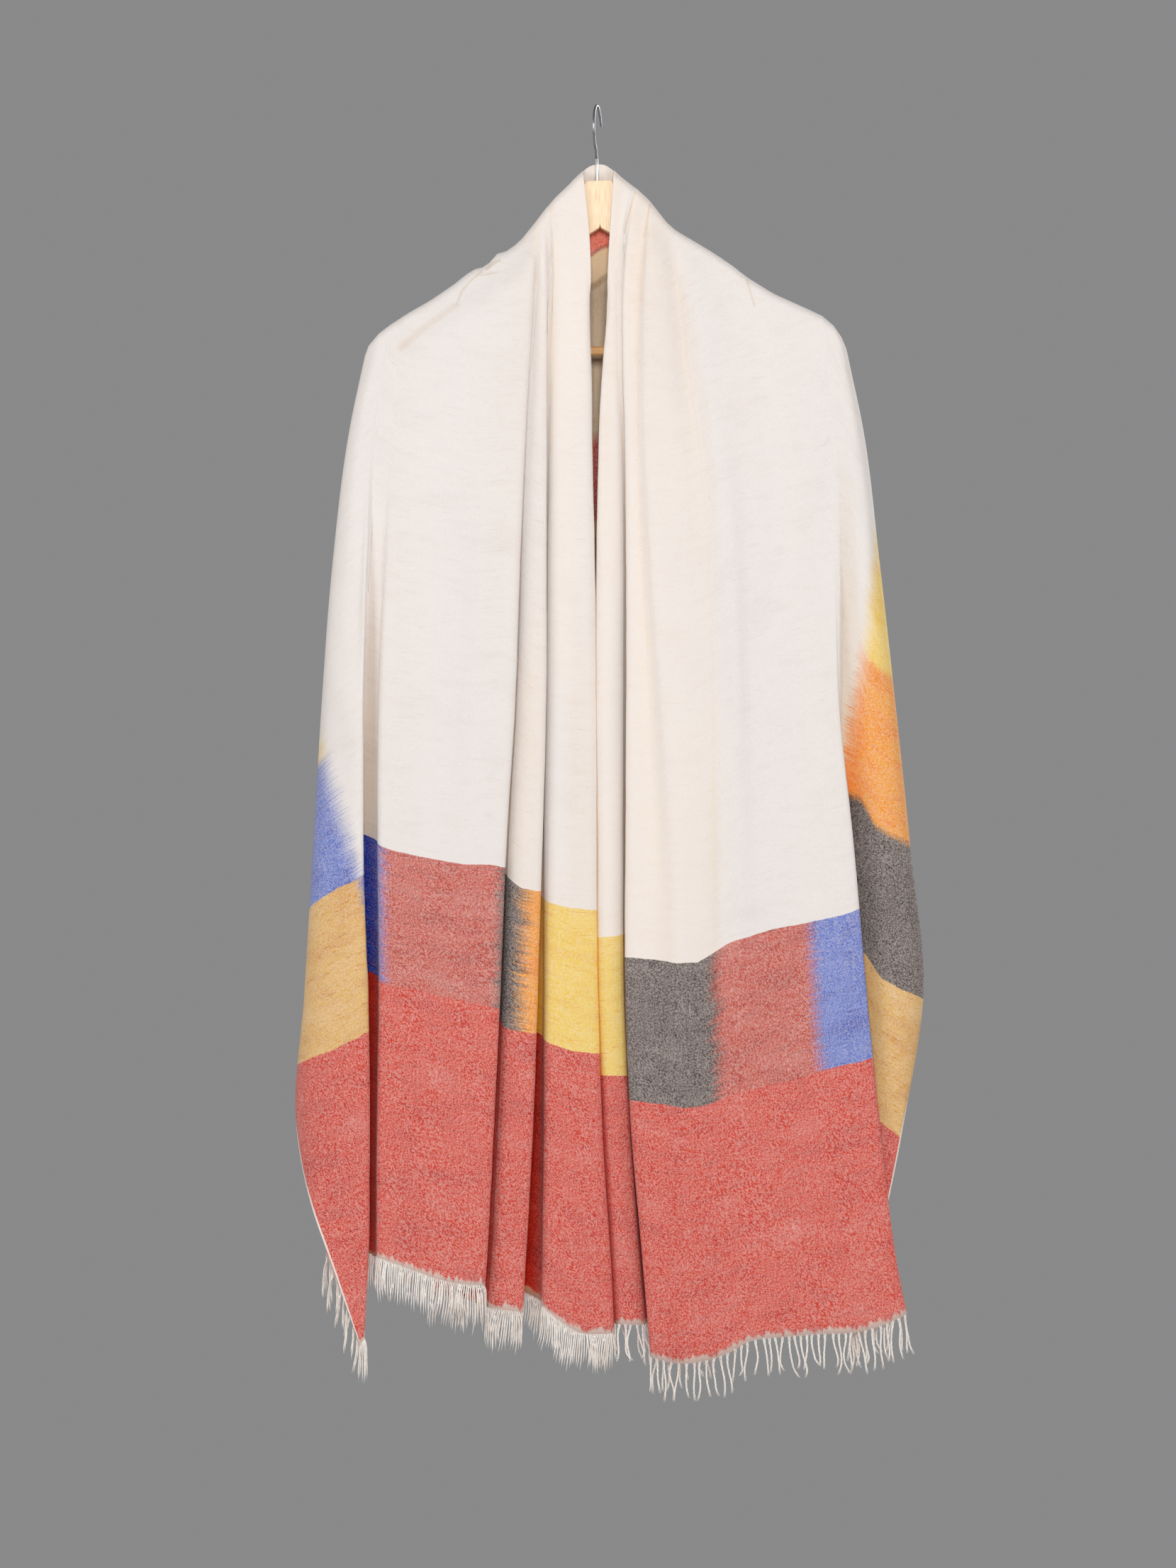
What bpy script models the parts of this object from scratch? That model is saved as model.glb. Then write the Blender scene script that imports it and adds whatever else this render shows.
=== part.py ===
"""Long fringed wool shawl hung open over a flat wooden coat hanger with a wire hook.

The origin is where the inside of the hook's top rests on the rod that carries it.
X runs to the right across the hanger, Y to the back and Z up. All tables are in millimetres.
"""
import math

import bmesh
import bpy
import numpy as np

MM = 0.001
CLOTH_WALL = 1.0
SEAM_GAP = 0.3
RIDGE_GAP = 0.8
FREE_LEAN = 0.8
LEFT = -1
RIGHT = 1

# Heights below the rod at which every fold line is given.
LEVELS = (-60, -120, -180, -220, -280, -400, -530, -650, -780, -900, -1030, -1100)

# Where each fold line of the left front runs, across the hanger, at each height.
LEFT_LINES = {
    "opening": (-13, -7, -6, -6, -6, -3.5, -2, -1.5, 0.5, 7, 12.5, 15.5),
    "b_left": (-46.5, -39, -38.5, -39, -39.5, -41, -41.5, -44, -45.5, -47, -48.5, -49.5),
    "a_right": (-51, -43.5, -42.5, -43, -44, -45.5, -46.5, -49.5, -53.5, -57.5, -64, -67.5),
    "a_left": (-54.5, -50, -52, -54.5, -58.5, -64, -68.5, -75.5, -80, -85.5, -93, -99),
    "m_right": (-59, -54, -56.5, -59, -63, -68.5, -73, -80.5, -85.5, -91.5, -98.5, -104.5),
    "m_left": (-172, -172, -173, -175, -179.5, -185, -190, -190, -189, -191, -191.5, -191.5),
    "flap": (-179.5, -179.5, -182.5, -188, -197, -203, -205, -203.5, -200, -199, -200.5, -203.5),
    "side": (-190, -192, -196, -204.5, -217.5, -233, -243, -250, -258, -264.5, -225, -200),
}

# Where each fold line of the right front runs, at the same heights.
RIGHT_LINES = {
    "opening": (14, 10, 7, 4.5, 2, 0.5, -0.5, 0.5, 3.5, 10.5, 16.5, 19.5),
    "d_left": (35, 24, 20.5, 21, 23, 25, 25, 24.5, 25, 30.5, 40.5, 46),
    "ripple": (49, 42.5, 40, 40, 40.5, 46.5, 55.5, 63, 68, 73, 77, 78.5),
    "dent": (57, 66, 75, 79, 87.5, 98, 101.5, 103, 103.5, 107.5, 117, 123),
    "d_right": (197.5, 197.5, 198, 200, 203.5, 208, 212, 224, 235, 247, 263.5, 279.5),
    "fold_back": (199.5, 199.5, 200, 202, 205.5, 211, 211, 205, 204, 211, 219, 222),
    "side": (206, 209, 212, 219.5, 232.5, 247.5, 262, 274.5, 286, 266.5, 240, 227),
}

# How far in front of the hanger's middle plane the rearmost front layer hangs,
# and how far apart two layers of a pleat lie.
FRONT_BASE = (9.5, 10.6, 11, 11, 11.5, 12.5, 14, 15, 15.5, 16, 16.5, 17)
LAYER_GAP = (3.0, 3.0, 3.2, 3.4, 3.8, 4.5, 5, 5.4, 5.6, 5.8, 6, 6)

# Relief of the panels of both fronts, counted in layers from the back.
RELIEF = {
    "on_board": (0, 0, 0, 0, 0, 0, 0, 0, 0, 0, 0, 0),
    "b_valley": (0, 0, 0, 0, -0.1, -0.3, -0.5, -0.6, -0.7, -0.7, -0.7, -0.7),
    "a_valley": (2, 2, 2, 2, 1.9, 1.8, 1.7, 1.6, 1.6, 1.6, 1.6, 1.6),
    "ripple_valley": (2.0, 1.9, 1.9, 1.9, 1.9, 1.9, 1.9, 2.0, 2.2, 2.5, 2.8, 3.0),
    "ripple_top": (2.2, 2.9, 3.1, 3.1, 3.1, 3.1, 3.2, 3.2, 3.2, 3.2, 3.4, 3.6),
    "dent_valley": (1.9, 1.0, 0.3, 0.4, 1.0, 1.6, 1.8, 1.9, 2.0, 2.1, 2.2, 2.2),
    "dent_top": (1.6, 1.8, 2.0, 2.1, 2.4, 2.6, 2.6, 2.6, 2.5, 2.4, 2.3, 2.3),
    "d_outer": (0.2, 0.6, 0.9, 1.1, 1.4, 1.8, 2.1, 2.3, 2.4, 2.4, 2.4, 2.4),
    "d_edge": (0.1, 0.2, 0.4, 0.6, 1.0, 1.5, 1.9, 2.1, 2.1, 2.1, 2.1, 2.1),
    "flap_front": (0.4, 0.8, 1.6, 2.0, 2.6, 3.6, 4.6, 5.0, 5.0, 5.0, 5.0, 5.0),
    "flap_middle": (0.2, 0.5, 1.2, 1.5, 2.0, 2.8, 3.6, 4.0, 4.2, 4.4, 4.8, 5.0),
    "m_outer": (1.0, 1.8, 2.8, 3.2, 3.6, 4.0, 4.1, 4.1, 4.1, 4.1, 4.1, 4.1),
    "m_edge": (0.6, 1.2, 2.0, 2.4, 3.0, 3.8, 4.0, 4.0, 4.0, 4.0, 4.0, 4.0),
}

# Each pleat: the height where it starts to overlap, where it is fully lapped, and, for one that
# starts low down, the relief that its columns share above it and the drop in which they part.
PLEATS = {
    "turned_edge": (-150, -270, "on_board", 70),
    "a_pleat": (-116, -330, None, 0),
    "m_pleat": (-128, -345, None, 0),
    "flap_pleat": (-350, -900, "flap_front", 240),
    "d_pleat": (-96, -300, None, 0),
    "side_pleat": (-400, -800, "d_edge", 200),
}

# A column of the cloth, from the opening outwards. Its place lies on the way from one fold line
# to another by a share, then is moved outwards by "shut" where the pleat is closed and by "lapped"
# where it is fully laid. "layer" counts depth from the back, "reach" is 1 on the front and 0 at the
# side fold, "hem" is the height of its lower end and "steps" the cells before the next column.
COLUMN_FIELDS = ("line", "to", "share", "pleat", "shut", "lapped", "layer", "reach", "hem", "steps")

LEFT_COLUMNS = (
    ("opening", "opening", 0, "turned_edge", 0, 20, -1.35, 1, -1072, 2),
    ("opening", "opening", 0, "turned_edge", 1.4, 3.2, -1.0, 1, -1076, 1),
    ("opening", "opening", 0, "turned_edge", 2.8, 0, -0.45, 1, -1077.5, 1),
    ("opening", "opening", 0, "turned_edge", 4.2, 3.0, 0, 1, -1077.5, 2),
    ("opening", "b_left", 0.5, "a_pleat", 0, 0, 0.2, 1, -1076, 2),
    ("b_left", "b_left", 0, "a_pleat", -1.5, 0, 0, 1, -1053, 1),
    ("a_right", "a_right", 0, "a_pleat", -4.0, 5, "b_valley", 1, -1045, 2),
    ("a_right", "a_right", 0, "a_pleat", -3.2, 58, 0.1, 1, -1036, 1),
    ("a_right", "a_right", 0, "a_pleat", -2.0, 62, 0.5, 1, -1036, 1),
    ("a_right", "a_right", 0, "a_pleat", -0.8, 58, 0.9, 1, -1037, 1),
    ("a_right", "a_right", 0, "a_pleat", 0.4, 3.5, 1.15, 1, -1057, 1),
    ("a_right", "a_right", 0, "a_pleat", 1.5, 0, 1.55, 1, -1057.5, 1),
    ("a_right", "a_right", 0, "a_pleat", 2.8, 3.2, 1.95, 1, -1057, 1),
    ("a_right", "a_left", 0.55, "a_pleat", 0, 0, 2.1, 1, -1055, 1),
    ("a_left", "a_left", 0, "m_pleat", -1, 0, 2.0, 1, -1053, 1),
    ("m_right", "m_right", 0, "m_pleat", -4.0, 6, "a_valley", 1, -1050, 2),
    ("m_right", "m_right", 0, "m_pleat", -3.2, 42, 2.1, 1, -1040, 1),
    ("m_right", "m_right", 0, "m_pleat", -2.0, 46, 2.5, 1, -1040, 1),
    ("m_right", "m_right", 0, "m_pleat", -0.8, 42, 2.9, 1, -1039, 1),
    ("m_right", "m_right", 0, "m_pleat", 0.4, 3.5, 3.15, 1, -1033, 1),
    ("m_right", "m_right", 0, "m_pleat", 1.5, 0, 3.55, 1, -1033, 1),
    ("m_right", "m_right", 0, "m_pleat", 2.8, 3.2, 3.95, 1, -1032.5, 2),
    ("m_right", "m_left", 0.35, "m_pleat", 0, 0, 4.1, 1, -1029, 2),
    ("m_right", "m_left", 0.7, "m_pleat", 0, 0, "m_outer", 1, -1018, 2),
    ("m_left", "m_left", 0, "flap_pleat", 0, 0, "m_edge", 1, -1007.5, 1),
    ("flap", "flap", 0, "flap_pleat", -6, 6, 2.7, 1, -1006, 1),
    ("flap", "flap", 0, "flap_pleat", -4.8, 34, 2.0, 1, -1006, 1),
    ("flap", "flap", 0, "flap_pleat", -3.6, 38, 2.5, 1, -1008, 1),
    ("flap", "flap", 0, "flap_pleat", -2.4, 34, 3.1, 1, -1014, 2),
    ("flap", "flap", 0, "flap_pleat", -1.2, 3.5, 4.1, 1, -1075, 1),
    ("flap", "flap", 0, "flap_pleat", 0, 0, 4.5, 1, -1076.5, 1),
    ("flap", "side", 0.07, "flap_pleat", 0, 0, "flap_front", 1, -1078, 2),
    ("flap", "side", 0.5, "flap_pleat", 0, 0, "flap_middle", 0.98, -1081, 2),
    ("flap", "side", 0.84, "flap_pleat", 0, 0, "flap_middle", 0.72, -1082, 1),
    ("flap", "side", 0.96, "flap_pleat", 0, 0, "flap_middle", 0.36, -1082.5, 1),
    ("side", "side", 0, "flap_pleat", 0, 0, "flap_middle", 0, -1083, 0),
)

RIGHT_COLUMNS = (
    ("opening", "opening", 0, "turned_edge", 0, 26, -1.35, 1, -1066, 2),
    ("opening", "opening", 0, "turned_edge", 1.4, 3.2, -1.0, 1, -1068, 1),
    ("opening", "opening", 0, "turned_edge", 2.8, 0, -0.45, 1, -1068.5, 1),
    ("opening", "opening", 0, "turned_edge", 4.2, 3.0, 0, 1, -1068.5, 1),
    ("opening", "d_left", 0.55, "d_pleat", 0, 0, 0.1, 1, -1069, 1),
    ("d_left", "d_left", 0, "d_pleat", -5.2, -2.5, -0.1, 1, -1069, 1),
    ("d_left", "d_left", 0, "d_pleat", -4.0, 5, "b_valley", 1, -1069, 2),
    ("d_left", "d_left", 0, "d_pleat", -3.2, 50, 0.1, 1, -1075, 1),
    ("d_left", "d_left", 0, "d_pleat", -2.0, 54, 0.5, 1, -1078, 1),
    ("d_left", "d_left", 0, "d_pleat", -0.8, 50, 0.9, 1, -1080, 1),
    ("d_left", "d_left", 0, "d_pleat", 0.4, 3.5, 1.15, 1, -1095, 1),
    ("d_left", "d_left", 0, "d_pleat", 1.5, 0, 1.55, 1, -1096, 1),
    ("d_left", "d_left", 0, "d_pleat", 2.8, 3.2, 2.05, 1, -1096.5, 1),
    ("d_left", "ripple", 0.7, "d_pleat", 0, 0, "ripple_valley", 1, -1100, 1),
    ("ripple", "ripple", 0, "d_pleat", 1.5, 1.5, "ripple_top", 1, -1099.5, 2),
    ("ripple", "dent", 0.55, "d_pleat", 0, 0, 2.6, 1, -1096, 1),
    ("dent", "dent", 0, "d_pleat", -1, -1, "dent_valley", 1, -1088, 1),
    ("dent", "dent", 0, "d_pleat", 7, 9, "dent_top", 1, -1082, 2),
    ("dent", "d_right", 0.4, "d_pleat", 0, 0, "d_outer", 1, -1076, 2),
    ("dent", "d_right", 0.75, "d_pleat", 0, 0, "d_outer", 1, -1072, 2),
    ("d_right", "d_right", 0, "side_pleat", -3, -3, "d_edge", 1, -1059, 1),
    ("d_right", "d_right", 0, "side_pleat", -1.2, 0, 1.7, 1, -1057, 1),
    ("d_right", "d_right", 0, "side_pleat", 0.2, -3.5, 1.3, 1, -1058, 2),
    ("fold_back", "fold_back", 0, "side_pleat", -0.6, 4, 0.9, 1, -1066, 1),
    ("fold_back", "fold_back", 0, "side_pleat", 0.6, 0, 0.4, 1, -1068, 1),
    ("fold_back", "fold_back", 0, "side_pleat", 1.8, 3.0, -0.1, 1, -1070, 1),
    ("fold_back", "side", 0.4, "side_pleat", 0, 0, -0.1, 1, -1075, 2),
    ("fold_back", "side", 0.75, "side_pleat", 0, 0, -0.1, 0.9, -1078, 1),
    ("fold_back", "side", 0.92, "side_pleat", 0, 0, -0.1, 0.55, -1079.5, 1),
    ("side", "side", 0, "side_pleat", 0, 0, -0.1, 0, -1080, 0),
)

# The line along which the cloth lies on the hanger: across, height, depth behind the hanger's plane.
RIDGE = (
    (-204.5, -220.5, 0), (-201, -211.5, 0), (-192.5, -201.5, 0), (-182, -193.5, 0),
    (-166.5, -183.5, 0), (-147, -172.5, 0), (-125, -160, 0), (-108, -147.5, 0), (-90, -134.5, 0),
    (-78, -127, 0), (-66.5, -118.5, 0), (-54, -103, 0), (-46, -92.5, 0), (-36, -81, 0.5),
    (-27, -72.5, 2.5), (-19, -63.5, 6.5), (-12, -57, 10.5), (-9, -54, 12), (-3.5, -51.5, 13.5),
    (1.5, -51, 13.5), (7, -52, 12.5), (13.5, -57, 10), (22.5, -65.5, 5.5), (35, -75.5, 1),
    (45, -85, 0), (60, -104, 0), (68.5, -111.5, 0), (86.5, -122, 0), (101.5, -131, 0),
    (118, -142, 0), (130.5, -152, 0), (154, -166.5, 0), (182, -179, 0), (197, -186, 0),
    (207, -194.5, 0), (213.5, -204, 0), (218, -214, 0), (219.5, -220, 0),
)

# Between these two heights every column meets the ridge.
RIDGE_SEARCH = (-50, -260)
HALVINGS = 40

# Distances below the ridge of a front's first rows; the rest grow apart towards the hem.
TOP_ROWS = (0, 1.2, 4, 9, 20, 40)
EVEN_ROWS = 15
ROW_GROWTH = 1.35
# Over the first drop the cloth rounds the ridge, and over the second the layers part.
RIDGE_DROP = 9
LAYERS_PART = 45
EARLY_PART = 0.25

# Lower edge of the back: share across from -1 at the left side to 1 at the right, and height.
BACK_HEM = ((-1, -897), (-0.6, -846), (-0.25, -778), (0, -750), (0.3, -762), (0.7, -796), (1, -806))
# How far behind the hanger's plane the back hangs, by height.
BACK_DEPTH = ((-50, 10), (-150, 10.5), (-220, 11), (-400, 17), (-600, 24), (-800, 30), (-900, 32))
# Flutes of the back: share across, half width as a share, depth at the hem, height where it starts.
BACK_FLUTES = (
    (-0.78, 0.10, 13, -300), (-0.45, 0.12, 19, -190), (-0.1, 0.11, 16, -240),
    (0.22, 0.12, 20, -200), (0.55, 0.12, 17, -210), (0.84, 0.08, 11, -320),
)
FLUTES_FULL = -800
BACK_COLUMNS = 46
BACK_ROWS = 15
BACK_TOP_ROWS = TOP_ROWS[:4]
# The columns crowd together towards the sides, as steps of equal angle up to this share of a right angle.
BACK_CROWDING = 0.86
# The outer share of each half that rounds to the side, and the drop in which the neck's depth fades.
BACK_SIDE_ROUND = 0.12
NECK_FADE = 900

# Height where each side fold ends and the outer selvedge hangs free, and where it is fully free.
FREE_EDGE = {LEFT: (-890, -985), RIGHT: (-800, -930)}

# The hanger: half outline of an arm in its own plane, from the middle of the neck's top.
# Across, top edge, bottom edge.
ARM_PROFILE = (
    (0.4, 0, -41.8), (11.5, 0, -48.4), (14, -5, -49.8), (28, -14, -57.8), (45, -31.5, -67.6),
    (60, -46.5, -76.2), (75, -60.5, -84.8), (95, -74, -96.2), (115, -87, -107.7),
    (135, -99.5, -119.1), (155, -112, -130.6), (172, -121.5, -140.4), (177, -124.7, -143.3),
    (184.8, -128.8, -144.4), (186.5, -129.8, -156), (195, -137, -159), (201, -144.5, -157.5),
)
ARM_THICK = 12
ARM_BEVEL = 1.2
BEVEL_ANGLE = math.radians(60)
NECK_TOP = (0.6, -65)
HANGER_TILT = math.radians(1.8)
BAR_RADIUS = 4.3
BAR_HEIGHT = -149.3
BAR_HALF = 184.3
HOOK_WIRE = 1.2
HOOK_RADIUS = 20.5
HOOK_TURN = math.radians(9)
STEM_ACROSS = -0.5
# The stem and the bend above it: forward of the stem, height.
HOOK_STEM = ((0, -60), (0, -55), (0, -51), (-2.0, -47), (-6.5, -43))
BOW_START = math.radians(-118)
BOW_END = math.radians(-385)
BOW_STEPS = 22

# The fringe: one strand in each cell along the hem.
STRAND_WIDE = 4.3
STRAND_GAP = 2.5
STRIP_TALL = 3
STRAND_LONG = 33
FRINGE_THICK = 1.0
FRINGE_SLANT = {LEFT: -0.12, RIGHT: 0.05}
# Rings of a strand below its root: share of its length, share of its root's width, waver to one side.
STRAND_RINGS = ((0.45, 0.62, 0.8), (1.0, 0.2, -1.0))
STRAND_WAVER = 1.2
STRAND_DEPTH = 0.5
STRAND_UNEVEN = 0.1
SCATTER = (12.9898, 78.233, 43758.5453)
SHARP_TURN = math.radians(28)
HEM_SLACK = 0.7

COLOURS = {
    "undyed_wool": ((0.88, 0.80, 0.72, 1), 0.9, 0.0),
    "fringe_wool": ((0.72, 0.66, 0.60, 1), 0.9, 0.0),
    "pale_wood": ((0.82, 0.62, 0.38, 1), 0.5, 0.0),
    "chrome_wire": ((0.78, 0.78, 0.80, 1), 0.15, 1.0),
}


def clear_scene():
    for item in list(bpy.data.objects):
        bpy.data.objects.remove(item, do_unlink=True)


def material(name):
    colour, roughness, metallic = COLOURS[name]
    made = bpy.data.materials.new(name)
    made.use_nodes = True
    shader = made.node_tree.nodes["Principled BSDF"]
    shader.inputs["Base Color"].default_value = colour
    shader.inputs["Roughness"].default_value = roughness
    shader.inputs["Metallic"].default_value = metallic
    made.diffuse_color = colour
    return made


def add_object(name, mesh_data, finish):
    made = bpy.data.objects.new(name, mesh_data)
    bpy.context.scene.collection.objects.link(made)
    made.data.materials.append(finish)
    return made


def smooth(value):
    held = np.clip(value, 0, 1)
    return held * held * (3 - 2 * held)


def through(places, values, where):
    """Smooth curve through the pairs, read at where; places must rise."""
    places = np.asarray(places, float)
    values = np.asarray(values, float)
    where = np.clip(where, places[0], places[-1])
    slopes = np.gradient(values, places)
    cell = np.clip(np.searchsorted(places, where) - 1, 0, len(places) - 2)
    width = places[cell + 1] - places[cell]
    t = (where - places[cell]) / width
    start = (2 * t ** 3 - 3 * t ** 2 + 1) * values[cell]
    end = (3 * t ** 2 - 2 * t ** 3) * values[cell + 1]
    lean = (t ** 3 - 2 * t ** 2 + t) * slopes[cell] + (t ** 3 - t ** 2) * slopes[cell + 1]
    return start + end + lean * width


def at_height(values, height):
    return through(LEVELS[::-1], values[::-1], height)


def ridge_height(across):
    table = np.array(RIDGE)
    return np.interp(across, table[:, 0], table[:, 1])


def ridge_depth(across):
    table = np.array(RIDGE)
    return np.interp(across, table[:, 0], table[:, 2])


def column_across(column, lines, side, height):
    base = at_height(lines[column["line"]], height)
    far = at_height(lines[column["to"]], height)
    start, full = PLEATS[column["pleat"]][:2]
    laid = smooth((start - height) / (start - full))
    moved = column["shut"] + (column["lapped"] - column["shut"]) * laid
    return base + (far - base) * column["share"] + side * moved


def column_top(column, lines, side):
    """Height at which a column reaches the ridge, found by halving."""
    high, low = RIDGE_SEARCH
    for _ in range(HALVINGS):
        middle = (high + low) / 2
        if middle > ridge_height(column_across(column, lines, side, middle)):
            high = middle
        else:
            low = middle
    return middle


def column_points(column, lines, side):
    """Middle of the cloth along one column, from the ridge down to the hem."""
    top = column_top(column, lines, side)
    long = top - column["hem"]
    even = np.linspace(0, 1, EVEN_ROWS + 1)[1:] ** ROW_GROWTH
    below = np.concatenate([TOP_ROWS, TOP_ROWS[-1] + (long - TOP_ROWS[-1]) * even])
    height = top - below
    across = column_across(column, lines, side, height)
    layer = column["layer"]
    if isinstance(layer, str):
        layer = at_height(RELIEF[layer], height)
    start, _, flat, parting = PLEATS[column["pleat"]]
    if flat:
        level = at_height(RELIEF[flat], height)
        layer = level + (layer - level) * smooth((start - height) / parting + EARLY_PART)
    parted = smooth(below / LAYERS_PART)
    in_front = at_height(FRONT_BASE, height) + layer * at_height(LAYER_GAP, height) * parted
    start, full = FREE_EDGE[side]
    reach = column["reach"]
    reach = reach + (1 - reach) * smooth((start - height) / (start - full))
    on_ridge = ridge_depth(across) - RIDGE_GAP / 2
    over = np.sqrt(1 - (1 - np.clip(below / RIDGE_DROP, 0, 1)) ** 2)
    depth = on_ridge + (-in_front * reach - RIDGE_GAP / 2 - on_ridge) * over
    return np.stack([across, depth, height], axis=1)


def blend(before, first, second, after, share):
    """Centripetal spline between the first and second of four neighbouring point rows."""
    def knot(a, b):
        return np.maximum(np.linalg.norm(b - a, axis=1) ** 0.5, 1e-4)[:, None]

    t0 = np.zeros((len(first), 1))
    t1 = t0 + knot(before, first)
    t2 = t1 + knot(first, second)
    t3 = t2 + knot(second, after)
    t = t1 + (t2 - t1) * share
    a1 = (t1 - t) / (t1 - t0) * before + (t - t0) / (t1 - t0) * first
    a2 = (t2 - t) / (t2 - t1) * first + (t - t1) / (t2 - t1) * second
    a3 = (t3 - t) / (t3 - t2) * second + (t - t2) / (t3 - t2) * after
    b1 = (t2 - t) / (t2 - t0) * a1 + (t - t0) / (t2 - t0) * a2
    b2 = (t3 - t) / (t3 - t1) * a2 + (t - t1) / (t3 - t1) * a3
    return (t2 - t) / (t2 - t1) * b1 + (t - t1) / (t2 - t1) * b2


def front_surface(rows, lines, side):
    """Grid of points, one row for each height, of one front from its opening to its side fold."""
    columns = [dict(zip(COLUMN_FIELDS, row)) for row in rows]
    points = [column_points(column, lines, side) for column in columns]
    points.insert(0, 2 * points[0] - points[1])
    points.append(2 * points[-1] - points[-2])
    grid = []
    for number, column in enumerate(columns[:-1]):
        for step in range(column["steps"]):
            share = step / column["steps"]
            grid.append(blend(*points[number:number + 4], share) if step else points[number + 1])
    grid.append(points[-2])
    return np.stack(grid, axis=1)


def back_surface():
    """Grid of points of the back, from the ridge and the neck's edge down to the back hem."""
    ridge = np.array(RIDGE)
    widest = math.pi / 2 * BACK_CROWDING
    share = np.sin(np.linspace(-1, 1, BACK_COLUMNS) * widest) / math.sin(widest)
    across_top = np.where(share < 0, -share * ridge[0, 0], share * ridge[-1, 0])
    top = np.interp(across_top, ridge[:, 0], ridge[:, 1])
    depth_top = np.interp(across_top, ridge[:, 0], ridge[:, 2])
    hem = through([row[0] for row in BACK_HEM], [row[1] for row in BACK_HEM], share)
    even = np.linspace(0, 1, BACK_ROWS + 1)[1:]
    edge = np.clip((1 - np.abs(share)) / BACK_SIDE_ROUND, 0, 1)
    rounded = np.sqrt(1 - (1 - edge) ** 2)
    heights = [row[0] for row in BACK_DEPTH][::-1]
    depths = [row[1] for row in BACK_DEPTH][::-1]
    grid = []
    drops = [np.full(len(share), float(below)) for below in BACK_TOP_ROWS]
    drops += [BACK_TOP_ROWS[-1] + (top - hem - BACK_TOP_ROWS[-1]) * part for part in even]
    for drop in drops:
        height = top - drop
        left = at_height(LEFT_LINES["side"], height[0]) / at_height(LEFT_LINES["side"], top[0])
        right = at_height(RIGHT_LINES["side"], height[-1]) / at_height(RIGHT_LINES["side"], top[-1])
        across = across_top * np.where(share < 0, left, right)
        flutes = np.zeros(len(share))
        for place, wide, deep, start in BACK_FLUTES:
            grown = smooth((start - height) / (start - FLUTES_FULL))
            flutes += deep * grown * np.exp(-((share - place) / wide) ** 2)
        behind = (through(heights, depths, height) + flutes) * rounded
        over = np.sqrt(1 - (1 - np.clip(drop / RIDGE_DROP, 0, 1)) ** 2)
        behind = np.maximum(behind, depth_top * (1 - drop / NECK_FADE))
        depth = depth_top + (behind - depth_top) * over
        grid.append(np.stack([across, depth + RIDGE_GAP / 2, height], axis=1))
    return np.stack(grid)


def grid_normals(grid):
    down = np.gradient(grid, axis=0)
    along = np.gradient(grid, axis=1)
    normal = np.cross(along, down)
    return normal / np.maximum(np.linalg.norm(normal, axis=2, keepdims=True), 1e-9)


def wall_mesh(name, grid, thick, seam_columns):
    """Closed wall round a grid of middle points, square to the hanger's plane along its seams."""
    normal = grid_normals(grid)
    for seam in (normal[0], *(normal[:, column] for column in seam_columns)):
        joined = np.abs(seam[:, 1]) < FREE_LEAN
        seam[joined, 1] = 0
        seam /= np.linalg.norm(seam, axis=1, keepdims=True)
    faces_of = bmesh.new()
    rows, columns = grid.shape[:2]
    sheets = []
    for sign in (0.5, -0.5):
        moved = (grid + normal * thick * sign) * MM
        sheets.append([[faces_of.verts.new(moved[r, c]) for c in range(columns)] for r in range(rows)])
    front, rear = sheets

    def quad(a, b, c, d):
        faces_of.faces.new((a, b, c))
        faces_of.faces.new((a, c, d))

    for r in range(rows - 1):
        for c in range(columns - 1):
            quad(front[r][c], front[r][c + 1], front[r + 1][c + 1], front[r + 1][c])
            quad(rear[r][c], rear[r + 1][c], rear[r + 1][c + 1], rear[r][c + 1])
    for r in range(rows - 1):
        quad(front[r][0], front[r + 1][0], rear[r + 1][0], rear[r][0])
        quad(front[r + 1][-1], front[r][-1], rear[r][-1], rear[r + 1][-1])
    for c in range(columns - 1):
        quad(front[0][c + 1], front[0][c], rear[0][c], rear[0][c + 1])
        quad(front[-1][c], front[-1][c + 1], rear[-1][c + 1], rear[-1][c])
    bmesh.ops.recalc_face_normals(faces_of, faces=faces_of.faces)
    made = bpy.data.meshes.new(name)
    faces_of.to_mesh(made)
    faces_of.free()
    return made


def along_line(points, distance):
    """Point of a polyline at each distance along it."""
    lengths = np.concatenate([[0], np.cumsum(np.linalg.norm(np.diff(points, axis=0), axis=1))])
    return np.stack([np.interp(distance, lengths, points[:, axis]) for axis in range(3)], axis=1)


def unlike(number, salt):
    """Repeatable scatter between -1 and 1."""
    by_number, by_salt, spread = SCATTER
    return 2 * ((math.sin(number * by_number + salt * by_salt) * spread) % 1) - 1


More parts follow.
